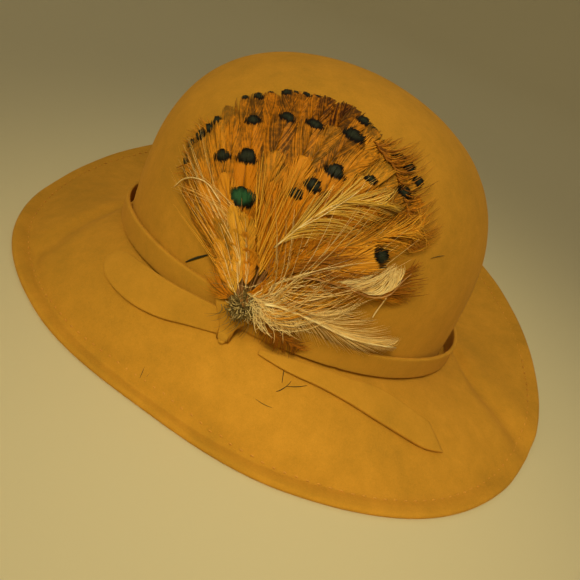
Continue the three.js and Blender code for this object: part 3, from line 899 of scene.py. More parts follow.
def comb(
    store, quill, border, count, lift, advance=0.0, between=(0.0, 1.0), width=0.4,
    gold=(0.0, 0.5), jitter=1.0, hump=1.0, bend=0.45, kind=0,
):
    """Barbs that leave the quill between two shares and end on the border, further on."""
    share = part_way(between, (np.arange(count) + draw.random(count)) / count)
    ahead = np.clip(share + advance * draw.uniform(*COMB_ADVANCES, count), 0, 1)
    a = curve(quill, share)
    b = curve(border, ahead) + draw.normal(0, jitter, (count, 2))
    before, after = (curve(quill, np.clip(share + step, 0, 1)) for step in (-0.02, 0.02))
    reach = np.linalg.norm(b - a, axis=-1)[:, None] * bend
    c = a + unit(after - before) * reach + draw.normal(0, jitter * 0.4, (count, 2))
    t = np.linspace(0, 1, COMB_STOPS)
    u = t[:, None]
    route = (1 - u) ** 2 * a[:, None] + 2 * u * (1 - u) * c[:, None] + u**2 * b[:, None]
    height = part_way(lift, part_way((share[:, None], ahead[:, None]), t))
    height = height + hump * np.sin(math.pi * t) * draw.uniform(0, 1, count)[:, None]
    size = width * draw.uniform(*COMB_WIDTHS, count)[:, None] * (1 - COMB_TAPER * t**1.5)
    place = stacked(0.0, (1 - t) * FAR_FROM_TIP, draw.random(count)[:, None])
    look = stacked(draw.random(count), 0.0, draw.uniform(*gold, count))
    height = np.maximum(height, LOWEST)
    lay(store, over_crown, route, height, size, size * COMB_RIDGE, place, look, kind)


def rib(store, points, lift, width, kind=1, taper=0.75, gold=0.5):
    """A bare quill through a few places on the map."""
    share = np.linspace(0, 1, RIB_STOPS)[None, :]
    route, height, size = curve(points, share), part_way(lift, share), width * (1 - taper * share)
    place = stacked(0.0, FAR_FROM_TIP, share)
    lay(store, over_crown, route, height, size, size * RIB_RIDGE, place, quill_look(gold), kind)


print("a combed barb has", COMB_STOPS, "places, and a rib has", RIB_STOPS)


# %% [markdown]
# ## Feather materials
#
# Feathers are keratin, like horn. The barbs are matt with a silky gloss along their length, and
# the quills are smooth and paler. The chestnut ones end in a spot that is nearly black at its
# rim, with a bottle-green gleam inside that comes from the barbs' own fine structure. The spot's
# place is worked out in millimetres from the tip, and its rim is broken up, because pigment
# stops at a different length on each barb.


# %% Mix the feathers
# Streaks that run over a few barbs, the gleam in a spot and the clouds of a quill
STREAK = {"Scale": per_mm(2.2), "Detail": 3.0, "Roughness": 0.6}
GLEAM = {"Scale": per_mm(1.8), "Detail": 1.0}
QUILL_CLOUD = {"Scale": per_mm(6.0), "Detail": 2.0}
SPOT_RIM = "#0c0803"
SPOT_CORE = "#2b3022"
GREEN_CORE = "#2c5a38"
# A spot's middle lies this share of its size in from the tip, and it is wider than it is long
SPOT_DROP = 0.75
SPOT_STRETCH = 0.55
SPOT_RAGGED = 0.35
GREEN_FROM = 4.0


def feather_keratin(name, base, light, far):
    """Barbs of one kind: two tones of its own, the tone of its golden kin, and the tip spot."""
    material, shader = new_material(name, {"Roughness": 0.5, "Specular IOR Level": 0.12})
    math_node = "ShaderNodeMath"
    multiply_add = {"operation": "MULTIPLY_ADD"}
    parts = []
    for key in ("barb_place", "barb_look"):
        values = add_node(material, "ShaderNodeAttribute", {"attribute_name": key}, output="Vector")
        parts += add_node(material, "ShaderNodeSeparateXYZ", links={0: values}).node.outputs[:]
    sideways, from_tip, tone, chance, spot, gold = parts
    where = add_node(material, "ShaderNodeTexCoord", output="Object")
    streak = add_node(material, "ShaderNodeTexNoise", STREAK, {"Vector": where})
    gleam = add_node(material, "ShaderNodeTexNoise", GLEAM, {"Vector": where})
    barb = add_node(material, math_node, {**multiply_add, 1: 0.35}, {0: chance, 2: streak})
    own = add_node(material, math_node, {**multiply_add, 1: 0.6}, {0: tone, 2: barb})
    tint = ramp(material, own, [(0.55, base), (1.0, light)])
    golden_tone = {"data_type": "RGBA", 7: linear(far)}
    plain = add_node(material, "ShaderNodeMix", golden_tone, {0: gold, 6: tint}, output=2)
    size = add_node(material, math_node, {"operation": "MAXIMUM", 1: 0.01}, {0: spot})
    down = add_node(material, math_node, {**multiply_add, 1: -SPOT_DROP}, {0: spot, 2: from_tip})
    narrow = {"operation": "MULTIPLY", 1: SPOT_STRETCH}
    across = add_node(material, math_node, narrow, {0: sideways})
    offset = add_node(material, "ShaderNodeCombineXYZ", links={0: across, 1: down})
    away = add_node(
        material, "ShaderNodeVectorMath", {"operation": "LENGTH"}, {0: offset}, output="Value"
    )
    share = add_node(material, math_node, {"operation": "DIVIDE"}, {0: away, 1: size})
    ragged = add_node(
        material, math_node, {**multiply_add, 1: SPOT_RAGGED}, {0: chance, 2: share}
    )
    rim = {"From Min": 1.0, "From Max": 1.2, "To Min": 1.0, "To Max": 0.0}
    mask = add_node(material, "ShaderNodeMapRange", rim, {"Value": ragged})
    ring = add_node(material, math_node, {**multiply_add, 1: 0.5}, {0: gleam, 2: share})
    small = ramp(material, ring, [(0.4, SPOT_CORE), (0.9, SPOT_RIM)])
    large = ramp(material, ring, [(0.5, GREEN_CORE), (1.0, SPOT_RIM)])
    is_green = {"operation": "GREATER_THAN", 1: GREEN_FROM}
    green = add_node(material, math_node, is_green, {0: spot})
    colour = {"data_type": "RGBA"}
    spotted = add_node(material, "ShaderNodeMix", colour, {0: green, 6: small, 7: large}, output=2)
    final = add_node(material, "ShaderNodeMix", colour, {0: mask, 6: plain, 7: spotted}, output=2)
    material.node_tree.links.new(final, shader.inputs["Base Color"])
    return material


def quill_keratin(name, dark, light):
    material, shader = new_material(name, {"Roughness": 0.35})
    where = add_node(material, "ShaderNodeTexCoord", output="Object")
    cloud = add_node(material, "ShaderNodeTexNoise", QUILL_CLOUD, {"Vector": where})
    colour = ramp(material, cloud, [(0.35, dark), (0.65, light)])
    material.node_tree.links.new(colour, shader.inputs["Base Color"])
    return material


chestnut_barbs = feather_keratin("pheasant_feather_chestnut", "#442002", "#cc7a06", "#f4b83c")
olive_barbs = feather_keratin("pheasant_feather_olive", "#6a4606", "#cc9824", "#fcd46c")
cream_barbs = feather_keratin("pheasant_feather_cream", "#b07820", "#f0bc58", "#ffe8a4")
dark_barbs = feather_keratin("pheasant_feather_dark", "#171007", "#66501f", "#d8bc78")
brown_barbs = feather_keratin("pheasant_feather_brown", "#4a2606", "#a0600f", "#c08030")
pale_quill = quill_keratin("feather_quill_pale", "#e8c478", "#ffe9a8")
brown_quill = quill_keratin("feather_quill_brown", "#8f5a1c", "#c08a45")
print("feather materials:", [m.name for m in bpy.data.materials if "feather" in m.name])

# %% [markdown]
# ## The fan
#
# The feathers lie in rows, like tiles, with the longest ones lowest. Each row of the table is
# one feather: its layer, the place of its tip on the crown's map, its width, the size of its
# dark spot, and how golden and how frayed it is. They were placed one by one against the
# picture, because real cockades are tied by hand and no two tips are alike.

# %% Lay the fan
# Columns: layer, side, up, width, spot (millimetres), gold share, fray
FAN = [
    (0, -34, 27, 8, 0.0, 0.20, 1.9),
    (0, -42, 33, 9, 0.0, 0.10, 1.8),
    (0, -48, 41, 12, 1.6, 0.20, 1.7),
    (0, -49, 49, 12, 1.8, 0.20, 1.5),
    (0, -47, 54, 11, 2.6, 0.25, 1.1),
    (0, -44, 58, 11, 2.4, 0.25, 1.0),
    (0, -42, 62, 11, 2.0, 0.15, 0.9),
    (0, -39, 68, 13, 0.0, 0.20, 0.9),
    (0, -35, 75, 13, 1.2, 0.12, 0.6),
    (0, -26, 82, 12, 0.6, 0.05, 0.5),
    (0, -17, 88, 12, 0.8, 0.05, 0.5),
    (0, -9, 91.5, 12, 0.7, 0.05, 0.5),
    (0, 6, 94.5, 12, 0.0, 0.05, 0.9),
    (0, 14, 90, 12, 0.6, 0.15, 1.2),
    (0, -30, 79, 15, 2.0, 0.08, 0.4),
    (0, -21, 86.5, 15, 1.8, 0.05, 0.4),
    (0, -13, 90, 16, 1.3, 0.05, 0.4),
    (0, -5, 93.5, 15, 0.0, 0.02, 0.9),
    (0, 2, 95, 14, 0.0, 0.00, 1.1),
    (0, 10, 93, 13, 2.8, 0.10, 0.9),
    (0, 17, 88, 13, 0.0, 0.25, 2.2),
    (0, 23, 84, 12, 0.0, 0.30, 2.4),
    (0, 28, 84, 11, 2.2, 0.30, 1.6),
    (0, 33.5, 82, 11, 2.8, 0.25, 1.2),
    (0, 39.5, 78, 11, 2.4, 0.25, 1.3),
    (0, 43, 70, 11, 0.0, 0.10, 1.4),
    (0, 45, 62, 11, 0.0, 0.05, 1.8),
    (1, -38, 62, 12, 0.0, 0.25, 1.0),
    (1, -33, 66, 12, 0.0, 0.12, 0.8),
    (1, -26, 70, 14, 2.4, 0.08, 0.4),
    (1, -14, 78, 15, 2.5, 0.06, 0.4),
    (1, -4.5, 80.5, 15, 2.4, 0.10, 0.5),
    (1, 3, 82, 12, 0.0, 0.15, 0.9),
    (1, 9.5, 85, 14, 3.4, 0.08, 0.6),
    (1, 18, 78, 13, 0.0, 0.20, 1.4),
    (1, 26, 76, 12, 0.0, 0.35, 1.5),
    (1, 36, 72, 12, 2.6, 0.15, 1.1),
    (2, -38, 46, 12, 0.0, 0.25, 1.3),
    (2, -30.5, 53.5, 12, 2.8, 0.15, 0.6),
    (2, -21, 58.5, 12, 3.4, 0.08, 0.4),
    (2, -10, 63, 12, 0.0, 0.22, 0.7),
    (2, -1, 66, 12, 0.0, 0.22, 0.8),
    (2, 9.5, 69, 12, 3.2, 0.15, 0.6),
    (2, 22, 71, 12, 2.0, 0.35, 0.9),
    (2, 29, 66, 12, 0.0, 0.30, 1.3),
    (3, -32, 40, 10, 0.0, 0.30, 1.4),
    (3, -25, 47, 10, 0.0, 0.30, 0.9),
    (3, -16.5, 46, 15, 4.6, 0.10, 0.3),
    (3, -7, 53, 10, 0.0, 0.12, 0.8),
    (3, 1, 55, 10, 2.4, 0.12, 0.8),
    (3, 5.5, 61, 11, 3.0, 0.12, 0.7),
    (3, 13, 52, 10, 0.0, 0.35, 1.2),
    (3, -17.5, 28.5, 9, 2.2, 0.30, 0.9),
]
# Lowest and highest tone of the feathers of each layer: the lower ones lie in shade
ROW_TONES = [(-0.3, 0.35), (-0.1, 0.6), (0.15, 1.0), (0.2, 1.1)]


def lay_fan():
    stores = [Store() for _ in ROW_TONES]
    for layer, side, up, width, spot, gold, fray in FAN:
        lift = (FEATHER * (layer + 0.8), FEATHER * layer * 0.9 + 0.2)
        feather(
            stores[layer], (side, up), width, lift, bow=draw.normal(0, 0.03), spot=spot,
            gold=gold, fray=fray, tone=ROW_TONES[layer],
        )
    for layer, store in enumerate(stores):
        row = store.make(f"fan_row_{layer + 1}", [chestnut_barbs, brown_quill])
        seat(row, "chestnut_feather", "feather_fan")


lay_fan()

# %% [markdown]
# ## Buff scales over the knot
#
# Just above the knot small buff feathers lie like scales, each only a few millimetres wide, with
# brown shadow between them. They are drawn by the same function, with short barbs.

# %% Lay the scales
# Columns: side, up, width, gold share
SCALES = [
    (-16, 39, 7, 0.75),
    (-11, 39, 7, 0.55),
    (-20, 32, 6, 0.35),
    (-13, 32, 6, 0.65),
    (-8, 33, 6, 0.30),
    (-17, 25, 6, 0.60),
    (-11, 27, 5, 0.50),
    (-5, 28, 6, 0.20),
    (-13, 19, 5, 0.35),
    (-8, 22, 5, 0.70),
    (-3, 24, 5, 0.20),
    (-7, 16, 4, 0.75),
]
SCALE_FOOT = 0.4
SCALE_LIFT = 4.3 * FEATHER


def lay_scales():
    store = Store()
    for side, up, width, gold in SCALES:
        foot = part_way(np.array([KNOT, (side, up)]), SCALE_FOOT)
        feather(
            store, (side, up), width, (SCALE_LIFT, SCALE_LIFT), foot=foot, begin=0.15, gold=gold,
            fray=1.1, spacing=0.6, thickness=0.6, quill=0.3, widest=0.7, curl=1.5,
            tone=(-0.2, 1.2),
        )
    return store.make("buff_scales", [chestnut_barbs, pale_quill])


seat(lay_scales(), "chestnut_feather", "feather_fan")

# %% [markdown]
# ## Loose barbs of the fan
#
# Over the fan many barbs have come apart. At the right they sweep outwards in long, golden
# hairs, and at the left a few pale ones bend over the edge. Some at the right are brown, which
# reads as the shadow between the others. Each call below combs one lock of them.


# %% Comb out the loose barbs
golden = Store()
FAR_RIGHT = [(8, 62), (22, 66), (33, 62), (44, 56), (50, 50), (46, 38)]
FROM_KNOT = [(1, 14), (2, 14), (3, 14), (5, 13), (6, 13), (7, 12)]
MID_RIGHT = [(0, 46), (8, 48), (18, 44), (26, 38), (32, 32), (36, 27)]
TOP_LEFT = [(-13, 58), (-9, 60), (-4, 60), (0, 62), (4, 64)]
FROM_LEFT = [(-7, 38), (-5, 34), (-2, 28), (0, 24), (2, 20)]
FAR_LEFT = [(-34, 29), (-43, 34), (-47, 42), (-47, 50), (-42, 57)]
LEFT_ROOTS = [(-6, 12), (-6, 13), (-6, 14), (-5, 15), (-5, 16)]
comb(
    golden, FROM_KNOT, FAR_RIGHT, 110, (5.0, 3.0), gold=(0.0, 0.2), advance=0.05, jitter=4.0,
    hump=2.0, bend=0.1,
)
comb(
    golden, FROM_KNOT, FAR_RIGHT, 16, (5.6, 4.0), gold=(0.2, 1.0), advance=0.05, jitter=4.5,
    hump=2.6, bend=0.3, kind=2,
)
comb(golden, FROM_KNOT, MID_RIGHT, 90, (5.2, 4.8), gold=(0.0, 0.9), jitter=4.0, hump=2.6, bend=0.3)
comb(
    golden, FROM_KNOT, MID_RIGHT, 24, (5.6, 5.2), gold=(0.0, 0.8), jitter=4.5, hump=2.8, bend=0.5,
    kind=2,
)
comb(
    golden, FROM_LEFT, TOP_LEFT, 26, (4.8, 4.6), gold=(0.5, 1.0), jitter=2.5, hump=1.2, bend=0.0,
    width=0.6,
)
comb(golden, LEFT_ROOTS, FAR_LEFT, 40, (4.2, 3.0), gold=(0.0, 1.0), jitter=3.0, hump=2.2, bend=0.1)
comb(
    golden, LEFT_ROOTS, FAR_LEFT, 12, (4.6, 3.2), gold=(0.0, 0.6), between=(0.3, 1.0), jitter=2.0,
    hump=2.4, bend=0.2, kind=2,
)
ARC_ROOTS = [(4, 16), (6, 18), (9, 19), (12, 18), (14, 17)]
ARC_ENDS = [(26, 44), (34, 42), (39, 36), (38, 30), (36, 24)]
comb(
    golden, ARC_ROOTS, ARC_ENDS, 20, (5.8, 5.2), gold=(0.3, 1.0), jitter=3.5, hump=3.4, bend=0.6,
    width=0.34, kind=2,
)
SHADOW_ROOTS = [(9, 22), (12, 30), (16, 35), (19, 34), (22, 28)]
SHADOW_ENDS = [(22, 34), (25, 42), (33, 45), (37, 40), (40, 31)]
comb(
    golden, SHADOW_ROOTS, SHADOW_ENDS, 56, (5.6, 5.4), jitter=2.4, hump=1.6, bend=0.2, width=0.45,
    kind=3,
)
CLUMP_ROOTS = [(-2, 12), (-3, 10), (-4, 8)]
CLUMP_ENDS = [(-9, 20), (-14, 14), (-12, 5)]
comb(
    golden, CLUMP_ROOTS, CLUMP_ENDS, 80, (3.6, 2.0), gold=(0.0, 0.25), jitter=1.6, width=0.5,
    bend=0.2,
)
LEFT_ARC_ROOTS = [(-15, 26), (-14, 29), (-13, 31)]
LEFT_ARC_ENDS = [(-42, 30), (-44, 35), (-40, 39)]
comb(
    golden, LEFT_ARC_ROOTS, LEFT_ARC_ENDS, 16, (4.8, 3.6), gold=(0.0, 0.3), jitter=2.0, width=0.34,
    kind=2,
)
GOLDEN_FINISHES = [chestnut_barbs, pale_quill, cream_barbs, brown_barbs]
rib(
    golden, [(-43.5, 31.4), (-40.5, 36.1), (-35.2, 39.5), (-28.4, 40.5), (-21, 37.4)], (4.6, 5.4),
    0.55, taper=0.2,
)
seat(golden.make("fan_loose_barbs", GOLDEN_FINISHES), "chestnut_feather", "feather_fan")

# %% [markdown]
# ## Frayed ends
#
# Where the rim feathers are worn, thin barbs stick out past the fan: brown ones at the right,
# and shorter ones at the left. A few of them are pale.


# %% Fray the right rim
frayed = Store()
RIM_RIGHT = [(16, 84), (22, 80), (27, 77), (38, 66), (42, 60), (46, 56), (47, 52)]
PAST_RIM = [(23, 91), (31, 89), (37, 86), (48, 73), (53, 67), (57, 62), (58, 57)]
comb(frayed, RIM_RIGHT, PAST_RIM, 70, (1.6, 1.2), gold=(0.0, 0.6), jitter=2.2, width=0.5, hump=0.8)
comb(frayed, RIM_RIGHT, PAST_RIM, 60, (2.2, 1.6), jitter=2.4, width=0.5, hump=0.8, kind=1)
RIM_LEFT = [(-36, 33), (-42, 39), (-45, 45), (-45, 51), (-43, 55)]
PAST_LEFT = [(-44, 32), (-51, 39), (-53, 46), (-53, 53), (-50, 58)]
comb(frayed, RIM_LEFT, PAST_LEFT, 60, (0.7, 0.5), gold=(0.0, 0.5), jitter=1.8, width=0.6, hump=0.8)
seat(frayed.make("fan_frayed_ends", [chestnut_barbs, brown_barbs]), "chestnut_feather", "feather_fan")

# %% [markdown]
# ## The olive feather
#
# Its barbs are long, golden and set wide apart, so the fan shows through between them. Two pale
# ribs catch the light.

# %% Lay the olive feather
olive = Store()
OLIVE_QUILL = [(3, 33), (7, 42), (11.5, 51), (17, 58), (30, 64)]
OLIVE_ABOVE = [(3, 40), (6, 52), (12, 63), (19, 70), (30, 70)]
OLIVE_BELOW = [(5, 30), (13, 40), (23, 47), (30, 54), (36, 64)]
comb(
    olive, OLIVE_QUILL, OLIVE_ABOVE, 46, (5.6, 4.2), advance=0.3, gold=(0.1, 0.9), jitter=0.8,
    width=0.5,
)
comb(
    olive, OLIVE_QUILL, OLIVE_BELOW, 74, (5.6, 4.0), advance=0.4, gold=(0.0, 0.8), jitter=0.8,
    width=0.5, hump=1.4,
)
rib(olive, OLIVE_QUILL, (6.0, 4.8), 0.8)
rib(olive, [(6, 41), (13, 51.5), (19, 63), (20, 68)], (6.2, 4.8), 0.5)
seat(olive.make("olive_feather_barbs", [olive_barbs, pale_quill]), "olive_feather", "olive_feather")

# %% [markdown]
# ## The curled feather and its neighbours
#
# At the right a chestnut bunch has frayed to brown hairs. Below it an orange feather ends in
# a black spot, and a brown quill curls up past a cream vane.

# %% Lay the curled feather
bunch = Store()
BUNCH_QUILL = [(8, 28), (17, 38), (27, 46), (37, 54), (46, 60)]
BUNCH_ABOVE = [(8, 30), (18, 42), (28, 52), (37, 60), (46, 66)]
BUNCH_BELOW = [(9, 26), (19, 35), (30, 43), (41, 49), (51, 56)]
comb(
    bunch, BUNCH_QUILL, BUNCH_ABOVE, 90, (5.4, 3.2), advance=0.3, gold=(0.1, 0.8), jitter=2.0,
    width=0.5,
)
comb(
    bunch, BUNCH_QUILL, BUNCH_BELOW, 90, (5.4, 3.0), advance=0.3, gold=(0.0, 0.8), jitter=2.0,
    width=0.5,
)
feather(bunch, (39.5, 47.5), 13, (5.4, 4.2), foot=(5, 20), spot=3.0, gold=0.45, fray=0.9, begin=0.35)
seat(bunch.make("chestnut_bunch", [chestnut_barbs, brown_quill]), "chestnut_feather", "feather_fan")

curled = Store()
CURL_QUILL = [(12, 26), (20, 29), (30, 30.5), (41, 30.5), (47, 34), (49, 40), (51, 44)]
CURL_VANE_TOP = [(20, 31), (28, 34), (36, 39), (43, 43), (45, 43), (47, 43), (49, 43)]
CURL_ENDS = [(40, 25), (50, 27), (58, 30), (63, 34), (62, 39), (58, 44), (54, 48)]
CURL_LOW = [(14, 22), (24, 23), (36, 23.5), (48, 27), (54, 29), (58, 31), (60, 33)]
comb(
    curled, CURL_QUILL, CURL_VANE_TOP, 110, (4.4, 3.0), advance=0.2, between=(0.2, 0.8),
    gold=(0.3, 1.0), jitter=0.9, width=0.45, hump=1.2, kind=2,
)
comb(
    curled, CURL_QUILL, CURL_ENDS, 46, (3.8, 2.4), advance=0.1, between=(0.5, 1.0),
    gold=(0.0, 0.15), jitter=1.6, width=0.55, hump=1.6, kind=4,
)
comb(
    curled, CURL_QUILL, CURL_LOW, 110, (3.4, 1.6), advance=0.3, between=(0.0, 0.7),
    gold=(0.0, 0.4), jitter=1.0,
)
rib(curled, CURL_QUILL, (6.4, 5.4), 1.1, taper=0.6)
rib(curled, [(48, 31), (47.8, 26), (47.5, 20.6)], (3.0, 1.4), 0.7, taper=0.2, kind=3, gold=1.0)
CURLED_FINISHES = [chestnut_barbs, brown_quill, cream_barbs, pale_quill, brown_barbs]
seat(curled.make("curled_feather_barbs", CURLED_FINISHES), "chestnut_feather", "curled_feather")

# %% [markdown]
# ## The cream plume
#
# The plume's bright quill runs far down to the right. Its barbs are so fine and pale that the
# felt shows through them, and at its foot they turn to down that stands up in a soft heap.

# %% Lay the cream plume
DOWN_STOPS = 7
DOWN_HEADINGS = (20, 150)
DOWN_TURNING = 60
DOWN_LENGTHS = (3, 8)
DOWN_FOOT = 3.0
DOWN_WIDTH = 0.34
cream = Store()
PLUME_QUILL = [(4, 13), (8, 14.5), (13, 15.2), (21, 14.5), (31, 12.8), (42, 11.4), (62, 12)]
PLUME_ABOVE = [(4, 17), (9, 21), (17, 23.5), (28, 22.5), (40, 22), (52, 19.5), (63, 14)]
PLUME_BELOW = [(5, 10), (12, 6.5), (20, 4.6), (30, 3.8), (42, 4.0), (54, 6.0), (63, 10)]
comb(
    cream, PLUME_QUILL, PLUME_ABOVE, 150, (5.0, 1.2), advance=0.3, gold=(0.1, 0.8), jitter=0.8,
    width=0.28,
)
comb(
    cream, PLUME_QUILL, PLUME_BELOW, 150, (5.0, 1.2), advance=0.3, gold=(0.1, 0.8), jitter=0.8,
    width=0.28,
)
rib(cream, PLUME_QUILL[1:], (7.6, 3.2), 1.3, taper=0.6)
rib(cream, [(3, 14), (6, 18), (16, 24), (26, 28), (37, 34)], (6.4, 5.0), 0.5)
rib(cream, [(3, 14), (8, 19), (14, 22), (22, 25.5), (30, 25)], (6.4, 5.0), 0.45)


def curly(store, root, heading, reach, height, size, ridge, look):
    """Short strands that start at places on the map and turn as they grow."""
    stops = heading.shape[1]
    steps = heading_vector(heading) * (reach / (stops - 1))[:, None, None]
    walked = np.concatenate([np.zeros((len(root), 1, 2)), np.cumsum(steps[:, :-1], 1)], 1)
    place = stacked(height * 0, FAR_FROM_TIP, np.linspace(0, 1, stops))
    lay(store, over_crown, root[:, None] + walked, height, size, size * ridge, place, look)


def down(count, middle, spread, rise):
    """Soft down: short, fine, curly barbs that stand up from a patch of the map."""
    t = np.linspace(0, 1, DOWN_STOPS)
    root = np.asarray(middle) + draw.normal(0, 1, (count, 2)) * spread
    heading = draw.uniform(*DOWN_HEADINGS, count)[:, None]
    heading = heading + draw.normal(0, DOWN_TURNING, count)[:, None] * t
    reach = draw.uniform(*DOWN_LENGTHS, count)
    height = draw.uniform(*rise, count)[:, None] * np.sin(math.pi * (0.1 + 0.6 * t))
    size = DOWN_WIDTH * draw.uniform(0.6, 1.2, count)[:, None] * (1 - 0.7 * t)
    look = stacked(draw.random(count), 0.0, draw.uniform(0.5, 1.0, count))
    curly(cream, root, heading, reach, DOWN_FOOT + height, size, 0.6, look)


down(420, (7.5, 12.5), (2.6, 2.8), (1.0, 4.5))
down(160, (14, 10.5), (3.5, 2.2), (0.6, 3.0))
seat(cream.make("cream_plume_barbs", [cream_barbs, pale_quill]), "cream_feather", "cream_plume")

# %% [markdown]
# ## The dark feather below the knot
#
# A short, dark brown feather points to the right from under the knot. Its barbs are rough and
# end at very different lengths.

# %% Lay the under feather
under = Store()
UNDER_QUILL = [(7, 5), (12, 3), (18, 1), (25, -2)]
UNDER_ABOVE = [(8, 8), (14, 6.5), (21, 4), (28, 0)]
UNDER_BELOW = [(7, 2), (11, -2), (17, -4.5), (24, -5)]
comb(
    under, UNDER_QUILL, UNDER_ABOVE, 80, (2.4, 1.8), advance=0.25, gold=(0.0, 0.2), jitter=1.0,
    width=0.55, hump=0.5,
)
comb(
    under, UNDER_QUILL, UNDER_BELOW, 80, (2.4, 1.8), advance=0.25, gold=(0.0, 0.2), jitter=1.0,
    width=0.55, hump=0.5,
)
comb(
    under, [(20, 19), (27, 20), (34, 19)], [(30, 17), (38, 21), (49, 19.7)], 8, (2.4, 1.6),
    advance=0.2,
)
seat(under.make("under_feather_barbs", [brown_barbs, brown_quill]), "dark_feather", "under_feather")

# %% [markdown]
# ## The tuft over the knot
#
# A tuft of hackles hides the knot: short, stiff barbs that lie over each other in all
# directions, black and brown with cream flecks. A few longer ones hang down over the tab.


# %% Build the tuft
TUFT_BARBS = 460
TUFT_STOPS = 6
TUFT_MIDDLE = (1.2, 7.6)
TUFT_RADIUS = 4.4
TUFT_SHAPE = (0.8, 1.1)
TUFT_LENGTHS = (1.2, 3.8)
TUFT_WIDTHS = (0.3, 0.75)
TUFT_FOOT = 2.6
TUFT_RISES = (0.2, 3.2)
# Degrees by which a hackle starts off from straight out, and turns as it grows
TUFT_TURNING = (45, 40)
PALE_SHARE = 0.28
# Longer hackles over the tab and at the left: their roots and ends
HANGING = [(-6, 4), (-3, 3), (0, 2), (3, 2), (7, 3)], [(-9, -4), (-5, -6), (0, -5), (4, -6), (11, -3)]
AT_LEFT = [(-3, 10), (-4, 13), (-5, 16)], [(-13, 9), (-15, 14), (-13, 19)]


def tuft():
    store = Store()
    count = TUFT_BARBS
    t = np.linspace(0, 1, TUFT_STOPS)
    angle = draw.uniform(0, 360, count)
    out = TUFT_RADIUS * np.sqrt(draw.random(count))[:, None]
    root = np.array(TUFT_MIDDLE) + heading_vector(angle) * out * TUFT_SHAPE
    reach = draw.uniform(*TUFT_LENGTHS, count)
    start, turning = (draw.normal(0, most, count)[:, None] for most in TUFT_TURNING)
    course = angle[:, None] + start + turning * t
    rise = draw.uniform(*TUFT_RISES, count)[:, None] * np.sin(math.pi * (0.15 + 0.75 * t))
    size = draw.uniform(*TUFT_WIDTHS, count)[:, None] * (1 - 0.7 * t)
    is_pale = draw.random(count) < PALE_SHARE
    pale = np.where(is_pale, draw.uniform(0.4, 1.0, count), draw.uniform(0, 0.2, count))
    look = stacked(draw.random(count), 0.0, pale)
    curly(store, root, course, reach, TUFT_FOOT + rise, size, 0.5, look)
    comb(store, *HANGING, 18, (3.4, 2.0), gold=(0.0, 0.3), jitter=1.4, width=0.4)
    comb(store, *AT_LEFT, 18, (3.4, 1.8), gold=(0.1, 0.5), jitter=1.4, width=0.3)
    return store


seat(tuft().make("hackle_tuft_barbs", [dark_barbs, brown_quill]), "dark_feather", "hackle_tuft")

# %% [markdown]
# ## Hem stitches
#
# The brim's edge is folded under and held by prick stitches: from above only a short bead of
# thread shows, every few millimetres, in a shallow groove. Cotton thread is as matt as the felt
# and only a little paler, so the felt's recipe draws it too.


# %% Sew the hem
STITCH_LENGTH = 1.5
STITCH_WIDTH = 0.75
STITCH_RADIUS = 125.0


def hem_stitches():
    store = Store()
    fine = np.linspace(0, 2 * math.pi, 2881)
    arc = run_length(over_brim(fine, brim_reach(fine) - STITCH_LINE))
    count = int(arc[-1] / STITCH_SPACING)
    middle = np.interp(np.arange(count) * arc[-1] / count, arc, fine)
    t = np.linspace(-0.5, 0.5, 5)
    turn = middle[:, None] + t * STITCH_LENGTH / STITCH_RADIUS
    distance = brim_reach(turn) - STITCH_LINE + draw.normal(0, 0.12, count)[:, None]
    path = stacked(turn, distance)
    width = STITCH_WIDTH * np.sqrt(1 - (1.8 * t) ** 2) + turn * 0
    blank = np.zeros(turn.shape + (3,))
    lay(store, over_brim, path, -GROOVE_DEPTH * 0.8, width, width * 0.9, blank, blank[:, 0])
    print("hem of", round(arc[-1]), "mm has", count, "stitches")
    return store


cotton_thread = wool_felt("cotton_thread_mustard", "#bf8428", "#cf9538", "#dba549")
seat(hem_stitches().make("hem_stitches", [cotton_thread]), "felt")

# %% [markdown]
# ## Shed barbs and painted crease shade on the felt
#
# A few barbs have come off and lie on the felt. Two more, on the brim at the left, are dark
# strands that paint the shade in two small creases of the felt. Each is a thin, slightly bent
# strand, given by the places of its ends.

# %% Scatter the loose barbs and the painted crease shade
# On the crown: side and up from the knot at both ends, width. On the brim: turn in degrees
# and distance out from the crown at both ends, width. All but the turns are in millimetres.
CROWN_SHED = [((-29.5, 4.8), (-21.0, 13.3), 1.0), ((61, 49.6), (67.6, 52.2), 0.3)]
BRIM_SHED_AND_CREASE_SHADE = [
    ((3.92, 12.7), (6.92, 11.6), 0.5),
    ((24.1, 4.6), (24.55, 10.7), 0.34),
    ((23.78, 13.5), (25.66, 11.3), 0.42),
    ((25.66, 11.3), (30.47, 9.3), 0.34),
    ((25.66, 11.3), (26.53, 9.3), 0.26),
    ((20.0, 16.8), (23.9, 18.0), 0.26),
    # The next two are no barbs: dark strands that paint the shade in two small creases of the brim
    ((-3.64, 22.9), (-4.34, 18.6), 0.26),
    ((-2.55, 21.8), (-2.28, 18.4), 0.22),
]
SHED_STOPS = 8
SHED_BOW = 0.25
SHED_LIFT = 0.25


def shed_barbs_and_crease_shade(surface, rows):
    store = Store()
    t = np.linspace(0, 1, SHED_STOPS)
    for a, b, width in rows:
        path = part_way(np.array([a, b], float), t[:, None])
        path = path + np.array([0.0, SHED_BOW]) * np.sin(math.pi * t)[:, None]
        size = (width * np.sin(math.pi * (0.08 + 0.84 * t)) ** 0.6)[None]
        place = np.zeros((1, SHED_STOPS, 3))
        look = np.array([[0.2, 0.0, 0.0]])
        lay(store, surface, path[None], SHED_LIFT, size, size * 0.6, place, look)
    return store


def on_brim(turn, distance, lift):
    return over_brim(np.radians(turn), distance, lift)


def on_crown(side, up, lift):
    return crown_map(side, up, GAP + lift)


seat(shed_barbs_and_crease_shade(on_crown, CROWN_SHED).make("shed_barbs_crown", [brown_barbs]), "dark_feather")
seat(shed_barbs_and_crease_shade(on_brim, BRIM_SHED_AND_CREASE_SHADE).make("shed_barbs_and_crease_shade_brim", [brown_barbs]), "dark_feather")

